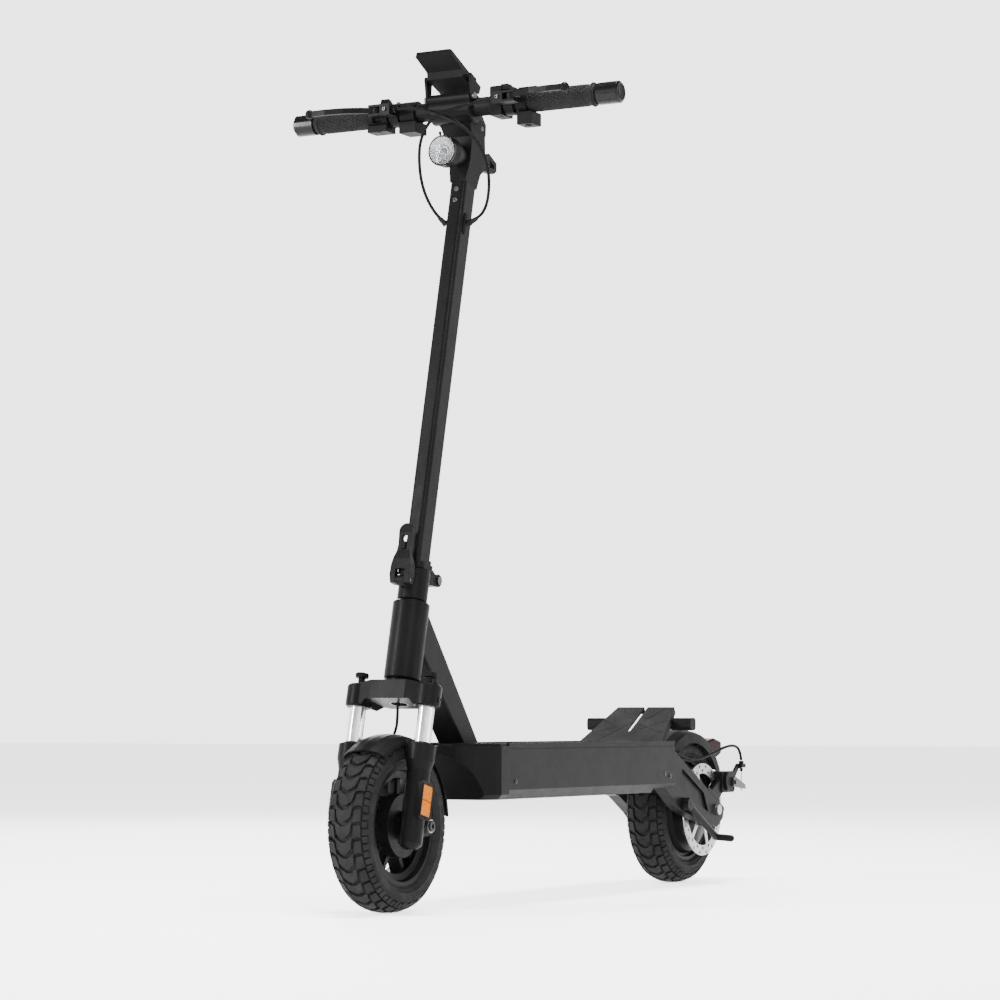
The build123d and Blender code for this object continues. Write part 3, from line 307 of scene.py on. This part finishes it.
def lathe(name, profile, origin, axis, body, look, steps=64, smooth=35):
    """Turns a closed outline of (radius, height) points in millimetres about an axis."""
    origin = Vector(origin)
    axis = Vector(axis).normalized()
    first, second = basis(axis)
    vertices = []
    for step in range(steps):
        angle = 2 * math.pi * step / steps
        out = first * math.cos(angle) + second * math.sin(angle)
        vertices += [origin + out * (radius * MM) + axis * (height * MM) for radius, height in profile]
    count = len(profile)
    faces = []
    for step in range(steps):
        a = step * count
        b = (step + 1) % steps * count
        for k in range(count):
            faces.append((a + k, a + (k + 1) % count, b + (k + 1) % count, b + k))
    return piece(name, vertices, faces, body, look, smooth)


class Batch:
    """Collects many small solids into one piece."""

    def __init__(self):
        self.vertices = []
        self.faces = []

    def loft(self, rings):
        """A closed solid through rings of equal point counts, capped at both ends."""
        count = len(rings[0])
        start = len(self.vertices)
        for ring in rings:
            self.vertices += list(ring)
        for level in range(len(rings) - 1):
            low = start + level * count
            high = low + count
            for k in range(count):
                j = (k + 1) % count
                self.faces.append((low + k, low + j, high + j, high + k))
        self.faces.append(tuple(range(start, start + count)))
        self.faces.append(tuple(range(start + (len(rings) - 1) * count, start + len(rings) * count)))

    def screw(self, place, axis, radius, height):
        """A round socket head with a bevelled rim and a hexagonal recess; place is its seat."""
        place = Vector(place)
        axis = Vector(axis).normalized()
        first, second = basis(axis)
        levels = [(1.0, 0.0), (1.0, 0.75), (0.86, 1.0), (0.5, 1.0), (0.46, 0.35), (0.02, 0.3)]
        rings = []
        for level, (reach, up) in enumerate(levels):
            ring = []
            for k in range(24):
                angle = 2 * math.pi * k / 24
                hexed = 1.0
                if level >= 3:
                    hexed = math.cos(math.pi / 6) / math.cos((angle % (math.pi / 3)) - math.pi / 6)
                out = first * math.cos(angle) + second * math.sin(angle)
                ring.append(place + out * (radius * reach * hexed * MM) + axis * (height * up * MM))
            rings.append(ring)
        self.loft(rings)

    def finish(self, name, body, look, smooth=35):
        return piece(name, self.vertices, self.faces, body, look, smooth)


# ---------------------------------------------------------------- tyres

FRONT_AXLE = Vector(JOINTS["front_wheel_spin"]["pos_m"])
REAR_AXLE = Vector(JOINTS["rear_wheel_spin"]["pos_m"])
# The tyre's outside, as (radius, half width), from the crown to the bead
TYRE_SURFACE = [
    (131, 0), (131, 10), (129.5, 16), (126.5, 24), (122, 31), (116, 35), (110, 36), (103, 35), (96, 32),
    (91.2, 28),
]
# Raised rings on the sidewall, below the tread
SIDEWALL = [
    (101.5, 35.2), (100.5, 35.4), (99.5, 34.2), (96.5, 32.5), (95.5, 32.6), (94.5, 31.2), (91.3, 28.2),
]
TREAD_DEPTH = 4.4
TREAD_PITCHES = 34


def surface_lengths():
    lengths = [0.0]
    for a, b in zip(TYRE_SURFACE, TYRE_SURFACE[1:]):
        lengths.append(lengths[-1] + math.dist(a, b))
    return lengths


SURFACE_LENGTHS = surface_lengths()


def tyre_point(axle, turn, across, depth):
    """A point on the tyre: turn in radians, across in millimetres from the crown along the surface."""
    reach = min(abs(across), SURFACE_LENGTHS[-1] - 0.01)
    k = next(i for i in range(1, len(SURFACE_LENGTHS)) if SURFACE_LENGTHS[i] >= reach)
    (r0, y0), (r1, y1) = TYRE_SURFACE[k - 1], TYRE_SURFACE[k]
    share = (reach - SURFACE_LENGTHS[k - 1]) / (SURFACE_LENGTHS[k] - SURFACE_LENGTHS[k - 1])
    lean = math.atan2(abs(r1 - r0), y1 - y0)
    radius = r0 + (r1 - r0) * share - depth * math.cos(lean)
    side = y0 + (y1 - y0) * share - depth * math.sin(lean)
    side = math.copysign(side, across) if across else 0.0
    return axle + Vector((radius * math.sin(turn), side, radius * math.cos(turn))) * MM


def tread_block(batch, axle, outline):
    """A tread block with bevelled top edges, from (turn, across) points."""
    middle_turn = sum(p[0] for p in outline) / len(outline)
    middle_across = sum(p[1] for p in outline) / len(outline)
    rings = []
    for shrink, depth in ((0.0, TREAD_DEPTH + 0.4), (0.03, 0.5), (0.09, 0.0)):
        ring = []
        for turn, across in outline:
            inset_turn = turn + (middle_turn - turn) * shrink
            inset_across = across + (middle_across - across) * shrink
            ring.append(tyre_point(axle, inset_turn, inset_across, depth))
        rings.append(ring)
    batch.loft(rings)


def make_tyre(name, node, axle, body):
    """The casing with sidewall rings, then centre chevrons, shoulder blocks and edge lugs."""
    profile = []
    for across in range(-18, 19):
        place = across * 50.0 / 18
        depth = TREAD_DEPTH if abs(place) < 38 else TREAD_DEPTH * max(0.0, 1 - (abs(place) - 38) / 5)
        point = tyre_point(Vector((0, 0, 0)), 0, place, depth)
        profile.append((point.z / MM, point.y / MM))
    for side in (1, -1):
        walls = [(radius, side * half_width) for radius, half_width in SIDEWALL]
        profile = profile + walls if side > 0 else list(reversed(walls)) + profile
    inner = [(91.3, 27), (91.3, -27)]
    casing = lathe(name, profile + inner, axle, (0, 1, 0), body, "tyre_rubber", steps=160, smooth=30)
    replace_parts(casing, node)
    batch = Batch()
    pitch = 2 * math.pi / TREAD_PITCHES
    for step in range(TREAD_PITCHES):
        turn = step * pitch
        near, far = turn + pitch * 0.05, turn + pitch * 0.90
        dip = pitch * 0.34
        tread_block(batch, axle, [(near, -15.5), (near + dip, -3.5), (near + dip, 3.5), (near, 15.5),
                                  (far - dip * 0.25, 12.5), (far + dip * 0.7, 2.5), (far + dip * 0.7, -2.5),
                                  (far - dip * 0.25, -12.5)])
        for side in (-1, 1):
            shift = pitch * 0.3
            tread_block(batch, axle, [(near + shift, side * 17.2), (near + shift * 0.7, side * 28),
                                      (far + shift * 0.7, side * 28.6), (far + shift * 0.55, side * 22),
                                      (far + shift, side * 14.4)])
            for half in (0, 1):
                start = turn + pitch * (0.52 * half + 0.05)
                end = start + pitch * 0.42
                reach = 41.5 if half else 39.0
                tread_block(batch, axle, [(start, side * 30), (start, side * reach), (end, side * reach),
                                          (end, side * 30)])
        for k in range(6):
            serration = turn + pitch * (k + 0.3) / 6
            for side in (1, -1):
                foot = ((0, 44), (0.004, 44), (0.004, 48), (0, 48))
                rings = []
                for depth in (0.4, -0.25):
                    rings.append([tyre_point(axle, serration + more, side * across, depth)
                                  for more, across in foot])
                batch.loft(rings)
    batch.finish(name + "_tread", body, "tyre_rubber", smooth=25)


# ---------------------------------------------------------------- handlebar

BAR = Vector(JOINTS["throttle_push"]["pos_m"])
GRIP_STEPS = 144
GRIP_ROWS = 170
GRIP_RADIUS = 16.6
GRIP_PAD_HEIGHT = 0.9
GRIP_FLANGE = 2.6


def make_grip(name, start, end):
    """A grip with raised diamond pads between plain rings; start and end are millimetres along Y."""
    vertices = []
    side = 1 if end > start else -1
    length = abs(end - start)
    for row in range(GRIP_ROWS + 1):
        along = length * row / GRIP_ROWS
        flange = GRIP_FLANGE * math.exp(-((along - length + 5.5) / 2.2) ** 4)
        ends = min(1.0, along / 4, (length - 12 - along) / 4) if along < length - 12 else 0.0
        for step in range(GRIP_STEPS):
            angle = 2 * math.pi * step / GRIP_STEPS
            one = abs(math.sin(9 * angle + along * 0.26))
            two = abs(math.sin(9 * angle - along * 0.26))
            pad = min(1.0, max(0.0, (min(one, two) - 0.28) * 4)) * max(0.0, ends)
            radius = GRIP_RADIUS + GRIP_PAD_HEIGHT * pad + flange
            vertices.append(BAR + Vector((radius * math.cos(angle), start + side * along,
                                          radius * math.sin(angle))) * MM)
    faces = []
    for row in range(GRIP_ROWS):
        for step in range(GRIP_STEPS):
            a = row * GRIP_STEPS + step
            b = row * GRIP_STEPS + (step + 1) % GRIP_STEPS
            faces.append((a, b, b + GRIP_STEPS, a + GRIP_STEPS))
    faces.append(tuple(range(GRIP_STEPS)))
    faces.append(tuple(range(GRIP_ROWS * GRIP_STEPS, (GRIP_ROWS + 1) * GRIP_STEPS)))
    grip = piece(name, vertices, faces, "stem", "grip_rubber", smooth=50)
    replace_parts(grip, "grips")


def make_bar_ends():
    """A shallow dished plug in each end cap."""
    low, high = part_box("bar_end_caps")
    for name, y, out in (("bar_end_plug_left", high.y, 1), ("bar_end_plug_right", low.y, -1)):
        profile = [(0.05, -1), (12.4, -1), (12.4, 0.4), (11.8, 0.8), (10.6, 0.5), (0.05, 0.3)]
        lathe(name, profile, (BAR.x, y, BAR.z), (0, out, 0), "stem", "black_plastic", steps=64)


# ---------------------------------------------------------------- headlight

def make_headlight():
    """A fluted reflector ring, an inner bowl and its lamp, behind a clear front."""
    low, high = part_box("headlight_lens")
    centre = Vector((low.x, (low.y + high.y) / 2, (low.z + high.z) / 2))
    radius = (high.z - low.z) / 2 / MM
    depth = (high.x - low.x) / MM
    vertices = []
    steps = 144
    profile = [(radius - 0.4, depth - 1.6), (radius - 3, depth - 2.6), (radius - 8, 2.6), (radius - 12, 2.0),
               (radius - 12.6, 3.4), (radius - 14, 1.2), (4.6, 0.6), (4.4, 2.2), (0.3, 2.8)]
    for step in range(steps):
        angle = 2 * math.pi * step / steps
        flute = 0.5 * math.cos(36 * angle)
        for k, (reach, up) in enumerate(profile):
            lift = flute if k in (1, 2) else 0.0
            spot = Vector((up + lift, reach * math.cos(angle), reach * math.sin(angle)))
            vertices.append(centre + spot * MM)
    count = len(profile)
    faces = []
    for step in range(steps):
        a = step * count
        b = (step + 1) % steps * count
        faces += [(a + k, a + k + 1, b + k + 1, b + k) for k in range(count - 1)]
    piece("headlight_reflector", vertices, faces, "stem", "steel", smooth=20)
    front = [(0.05, depth - 1.3), (radius - 0.2, depth - 1.3), (radius - 0.2, depth - 0.4),
             (radius - 1, depth), (0.05, depth + 0.3)]
    glass = lathe("headlight_glass", front, centre, (1, 0, 0), "stem", "clear_lens", steps=96)
    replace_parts(glass, "headlight_lens")
    lamp = [(0.05, 0.4), (5.0, 0.4), (5.0, 2.6), (3.4, 3.6), (0.05, 4.1)]
    lathe("headlight_lamp", lamp, centre, (1, 0, 0), "stem", "screen_glass", steps=32)
    bezel = [(radius + 0.2, depth - 2.5), (radius + 2.1, depth - 3.5), (radius + 2.3, depth - 1.2),
             (radius + 1.4, depth - 0.2), (radius + 0.3, depth - 0.5)]
    lathe("headlight_bezel", bezel, centre, (1, 0, 0), "stem", "gloss_black", steps=96)


# ---------------------------------------------------------------- cables

RIGHT_LEVER_ROUTE = [
    (0.352, -0.0857, 1.262), (0.353, -0.068, 1.262), (0.354, -0.046, 1.258), (0.355, -0.020, 1.251),
    (0.355, 0.008, 1.241), (0.353, 0.034, 1.225), (0.350, 0.056, 1.204), (0.346, 0.069, 1.181),
    (0.340, 0.074, 1.158), (0.333, 0.073, 1.135), (0.323, 0.066, 1.113), (0.310, 0.054, 1.098),
    (0.299, 0.038, 1.087), (0.299, 0.020, 1.079),
]
LEFT_LEVER_ROUTE = [
    (0.352, 0.0857, 1.262), (0.357, 0.068, 1.259), (0.363, 0.049, 1.254), (0.368, 0.029, 1.249),
    (0.371, 0.009, 1.244), (0.371, -0.009, 1.236), (0.368, -0.025, 1.220), (0.363, -0.036, 1.199),
    (0.356, -0.041, 1.176), (0.347, -0.044, 1.153), (0.338, -0.043, 1.130), (0.328, -0.038, 1.109),
    (0.317, -0.030, 1.091), (0.309, -0.020, 1.079),
]
REAR_ROUTE = [
    (-0.252, 0.050, 0.224), (-0.285, 0.051, 0.233), (-0.322, 0.054, 0.239), (-0.362, 0.058, 0.236),
    (-0.402, 0.062, 0.226), (-0.442, 0.065, 0.219), (-0.482, 0.068, 0.223), (-0.522, 0.071, 0.232),
    (-0.562, 0.074, 0.242), (-0.598, 0.076, 0.245), (-0.622, 0.077, 0.236), (-0.627, 0.077, 0.2175),
]
FRONT_ROUTE = [steer_point(*point) for point in (
    (6, 0, -154), (-7, -3, -184), (-20, -13, -199), (-40, -29, -204), (-62, -41, -217), (-83, -46, -242),
    (-95, -47, -273), (-93, -47, -305), (-67, -46.5, -331))]


def cable(name, route, radius, body, node):
    """A brake cable held at both ends, as a smooth curve through its route."""
    curve = bpy.data.curves.new(name, "CURVE")
    curve.dimensions = "3D"
    curve.bevel_depth = radius * MM
    curve.bevel_resolution = 6
    curve.resolution_u = 16
    curve.use_fill_caps = True
    spline = curve.splines.new("NURBS")
    spline.points.add(len(route) - 1)
    for point, place in zip(spline.points, route):
        point.co = (*place, 1)
    spline.order_u = 3
    spline.use_endpoint_u = True
    obj = bpy.data.objects.new(name, curve)
    bpy.context.scene.collection.objects.link(obj)
    curve.materials.append(MATERIALS["black_plastic"])
    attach(obj, body)
    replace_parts(obj, node)


def boot(name, route, body):
    """A tapered rubber boot over a cable's end, pointing back along the cable."""
    end, before = Vector(route[-1]), Vector(route[-2])
    profile = [(2.7, -3), (5.2, -3), (5.0, 1), (4.0, 4), (3.8, 9), (3.3, 13), (2.7, 14)]
    lathe(name, profile, end, before - end, body, "grip_rubber", steps=32)


def make_cables():
    cable("brake_cable_right", RIGHT_LEVER_ROUTE, 2.5, "stem", "brake_cables")
    cable("brake_cable_left", LEFT_LEVER_ROUTE, 2.5, "stem", "brake_cables")
    cable("brake_cable_rear", REAR_ROUTE, 2.5, "swing_arm", "rear_brake_cable")
    cable("brake_cable_front", FRONT_ROUTE, 2.25, "fork_lowers", "front_brake_cable")
    boot("cable_boot_left", RIGHT_LEVER_ROUTE, "stem")
    boot("cable_boot_right", LEFT_LEVER_ROUTE, "stem")
    plates = Batch()
    for side in (-1, 1):
        rings = []
        for grow, out in ((0, 0), (0, 1.2), (-1.2, 1.8)):
            ring = []
            for k in range(24):
                angle = 2 * math.pi * k / 24
                up = (11 if math.sin(angle) > 0 else -11) + (7 + grow) * math.sin(angle)
                ring.append(steer_point(4 + (7 + grow) * math.cos(angle), side * (14 + out), 624 + up))
            rings.append(ring)
        plates.loft(rings)
    plates.finish("cable_port_plates", "stem", "black_plastic")


# ---------------------------------------------------------------- screws, seals and knobs

LEG_FORWARD = 19
LEG_ACROSS = 60
ROTOR_SCREW_RADIUS = 18.5


def make_fasteners():
    stem = Batch()
    for s in (679, 660):
        stem.screw(steer_point(19.4, 0, s), STEER_FORWARD, 4.2, 1.6)
    for side in (-1, 1):
        stem.screw(BAR + Vector((0, side * 104, 19.3)) * MM, (0, 0, 1), 3.2, 2.6)
        stem.screw((BAR.x + 49.3 * MM, side * 102 * MM, BAR.z + 2 * MM), (1, 0, 0), 3.0, 2.2)
        stem.screw(steer_point(28, side * 37.8, 775), (0, side, 0), 3.4, 1.8)
        stem.screw(steer_point(55, side * 20, 822.6), STEER_AXIS, 3.4, 2.2)
    stem.screw(BAR + Vector((12, -133, -27)) * MM, (0, 0, -1), 2.6, 1.6)
    stem.screw(BAR + Vector((0, 84, -20)) * MM, (0, 0, -1), 2.6, 1.6)
    stem.screw(BAR + Vector((0, 133, -38)) * MM, (0, 0, -1), 5.0, 3.0)
    stem.finish("stem_screws", "stem", "dark_steel", smooth=30)
    deck = Batch()
    low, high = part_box("pivot_shaft")
    pivot = (low + high) / 2
    for side, y in ((1, high.y), (-1, low.y)):
        deck.screw((pivot.x, y, pivot.z), (0, side, 0), 4.2, 0.8)
    low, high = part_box("deck_shell")
    for side, y in ((1, high.y), (-1, low.y)):
        for share in (0.035, 0.965):
            x = low.x + (high.x - low.x) * share
            deck.screw((x, y - side * 0.1 * MM, high.z - 60 * MM), (0, side, 0), 4.0, 1.2)
    deck.finish("deck_screws", "frame", "gloss_black", smooth=30)
    crown = Batch()
    for side in (-1, 1):
        crown.screw(steer_point(LEG_FORWARD, side * 79.8, -158), (0, side, 0), 4.0, 2.0)
    crown.finish("crown_screws", "steering", "gloss_black", smooth=30)
    low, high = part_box("front_axle")
    lowers = Batch()
    for side, y in ((1, high.y), (-1, low.y)):
        lowers.screw((FRONT_AXLE.x, y - side * 0.2 * MM, FRONT_AXLE.z), (0, side, 0), 8.6, 3.0)
        lowers.screw(steer_point(LEG_FORWARD, side * LEG_ACROSS, -385.5), -STEER_AXIS, 5.0, 1.6)
    lowers.finish("fork_screws", "fork_lowers", "gloss_black", smooth=30)
    low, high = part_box("brake_rotor")
    rotor = Batch()
    for k in range(6):
        angle = math.radians(60 * k + 30)
        around = Vector((math.sin(angle), 0, math.cos(angle))) * (ROTOR_SCREW_RADIUS * MM)
        rotor.screw((REAR_AXLE.x + around.x, high.y, REAR_AXLE.z + around.z), (0, 1, 0), 2.8, 2.0)
    rotor.finish("rotor_screws", "rear_wheel", "steel", smooth=30)


def make_caliper_wire():
    """The brake cable's bare end, from the cable stop down through the caliper arm's clamp."""
    low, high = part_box("caliper_arm")
    stop = Vector(REAR_ROUTE[-1])
    reach = (stop.z - low.z) / MM
    wire = [(0.05, 6), (0.75, 6), (0.75, reach + 4), (0.05, reach + 4)]
    lathe("caliper_wire", wire, stop, (0, 0, -1), "swing_arm", "dark_steel", steps=16)
    bellows = [(0.9, 14)]
    for ring in range(2):
        bellows += [(2.2, 14 + 3 * ring), (3.4, 15.5 + 3 * ring)]
    bellows += [(2.0, 20.5), (0.9, 20.5)]
    lathe("caliper_bellows", bellows, stop, (0, 0, -1), "swing_arm", "grip_rubber", steps=32)


def make_lever_pad():
    """A dark pad inside the fold lever, above its pin."""
    pad = Batch()
    corners = ((-7.2, 35), (7.2, 35), (7.2, 58), (-7.2, 58))
    pad.loft([[steer_point(t, y, s) for y, s in corners] for t in (37.5, 39.5)])
    pad.finish("fold_lever_pad", "fold_lever", "black_plastic")


# The bars of a reflector's rim, as (from, to) forward and along the fork
REFLECTOR_BARS = [
    ((3.5, 5.6), (-338, -288)), ((32.4, 34.5), (-338, -288)), ((5.6, 32.4), (-338, -335.9)),
    ((5.6, 32.4), (-290.1, -288)), ((5.6, 32.4), (-313.4, -312.6)),
]


def make_reflector_rims():
    """A raised black rim round each leg reflector and a bar across its middle."""
    rims = Batch()
    for side in (-1, 1):
        for (back, front), (low, high) in REFLECTOR_BARS:
            corners = ((back, low), (front, low), (front, high), (back, high))
            rims.loft([[steer_point(t, side * y, s) for t, s in corners] for y in (77.5, 80.0)])
    rims.finish("reflector_rims", "fork_lowers", "black_plastic")


def make_seals():
    """Wiper seals on the fork legs, round the polished tubes."""
    for name, side in (("fork_seal_left", 1), ("fork_seal_right", -1)):
        seat = steer_point(LEG_FORWARD, side * LEG_ACROSS, -229)
        profile = [(12.9, -2), (17.4, -2), (17.6, 1.2), (16.6, 2.4), (14.6, 3.2), (13.0, 4.4), (12.8, 1)]
        lathe(name, profile, seat, STEER_AXIS, "fork_lowers", "grip_rubber", steps=64)


def make_knob(name, side, body, node):
    """A scalloped preload knob."""
    origin = steer_point(LEG_FORWARD, side * LEG_ACROSS, -140.5)
    first, second = basis(STEER_AXIS)
    levels = [(5.3, 0.0, 0.0), (5.3, 16.9, 0.0), (9.6, 17.2, 0.5), (10.3, 18.2, 0.8), (10.3, 23.0, 0.8),
              (9.4, 24.3, 0.5), (5.6, 24.5, 0.0), (5.0, 23.9, 0.0), (0.1, 23.9, 0.0)]
    steps = 96
    vertices = []
    for radius, up, scallop in levels:
        for k in range(steps):
            angle = 2 * math.pi * k / steps
            reach = radius - scallop * (0.5 + 0.5 * math.cos(16 * angle)) ** 3
            vertices.append(origin + (first * math.cos(angle) + second * math.sin(angle)) * (reach * MM)
                            + STEER_AXIS * (up * MM))
    faces = [(level * steps + k, level * steps + (k + 1) % steps, (level + 1) * steps + (k + 1) % steps,
              (level + 1) * steps + k) for level in range(len(levels) - 1) for k in range(steps)]
    faces.append(tuple(range(steps)))
    faces.append(tuple(range((len(levels) - 1) * steps, len(levels) * steps)))
    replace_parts(piece(name, vertices, faces, body, "black_plastic", smooth=40), node)


# ---------------------------------------------------------------- light, floor and camera

CAMERA_AT = Vector((4.530, 2.345, 0.286))
CAMERA_LOOKS = Vector((-0.8788, -0.4717, 0.0724))
CAMERA_LENS = 110.3
BACKDROP_LIGHT = 3.4
CEILING_LIGHT = 0.25


def look_along(obj, direction):
    obj.rotation_euler = direction.to_track_quat("-Z", "Y").to_euler()


def area_light(name, place, target, size, power):
    data = bpy.data.lights.new(name, "AREA")
    data.shape = "RECTANGLE"
    data.size, data.size_y = size
    data.energy = power
    obj = bpy.data.objects.new(name, data)
    bpy.context.scene.collection.objects.link(obj)
    obj.location = place
    look_along(obj, Vector(target) - Vector(place))


def make_world():
    """A white backdrop all round the horizon that fades to a dim ceiling."""
    world = bpy.data.worlds.new("studio")
    world.use_nodes = True
    tree = world.node_tree
    direction = tree.nodes.new("ShaderNodeSeparateXYZ")
    tree.links.new(tree.nodes.new("ShaderNodeTexCoord").outputs["Generated"], direction.inputs[0])
    fade = tree.nodes.new("ShaderNodeMapRange")
    fade.inputs["From Min"].default_value = 0.26
    fade.inputs["From Max"].default_value = 0.50
    fade.inputs["To Min"].default_value = BACKDROP_LIGHT
    fade.inputs["To Max"].default_value = CEILING_LIGHT
    tree.links.new(direction.outputs["Z"], fade.inputs["Value"])
    backdrop = tree.nodes["Background"]
    backdrop.inputs["Color"].default_value = (1, 1, 1, 1)
    tree.links.new(fade.outputs["Result"], backdrop.inputs["Strength"])
    bpy.context.scene.world = world


def make_stage():
    size = 30
    mesh = bpy.data.meshes.new("floor")
    corners = [(-size, -size, 0), (size, -size, 0), (size, size, 0), (-size, size, 0)]
    mesh.from_pydata(corners, [], [(0, 1, 2, 3)])
    floor = bpy.data.objects.new("floor", mesh)
    bpy.context.scene.collection.objects.link(floor)
    mesh.materials.append(floor_surface("pale_floor"))
    make_world()
    area_light("key", (3.0, 3.2, 3.6), (0, 0, 0.5), (1.2, 1.2), 240)
    area_light("side_strip", (-0.6, 3.4, 1.7), (0, 0, 0.6), (0.35, 2.6), 34)
    area_light("overhead", (0.2, 0.2, 4.2), (0, 0, 0), (1.6, 1.2), 420)
    area_light("rim", (-2.6, -2.4, 2.4), (0, 0, 0.6), (1.2, 1.8), 150)
    area_light("front_strip", (3.4, -2.4, 1.5), (0.3, 0, 0.6), (0.5, 2.4), 320)


def make_camera():
    data = bpy.data.cameras.new("camera")
    data.lens = CAMERA_LENS
    data.sensor_width = 36
    camera = bpy.data.objects.new("camera", data)
    bpy.context.scene.collection.objects.link(camera)
    camera.location = CAMERA_AT
    look_along(camera, CAMERA_LOOKS)
    bpy.context.scene.camera = camera


paint_cad()
make_tyre("front_tyre_casing", "front_tyre", FRONT_AXLE, "front_wheel")
make_tyre("rear_tyre_casing", "rear_tyre", REAR_AXLE, "rear_wheel")
make_grip("grip_left", 136, 254)
make_grip("grip_right", -152, -254)
make_bar_ends()
make_headlight()
make_cables()
make_fasteners()
make_seals()
make_caliper_wire()
make_lever_pad()
make_reflector_rims()
make_knob("knob_left_scalloped", 1, "knob_left", "preload_knob_left")
make_knob("knob_right_scalloped", -1, "knob_right", "preload_knob_right")
make_stage()
make_camera()
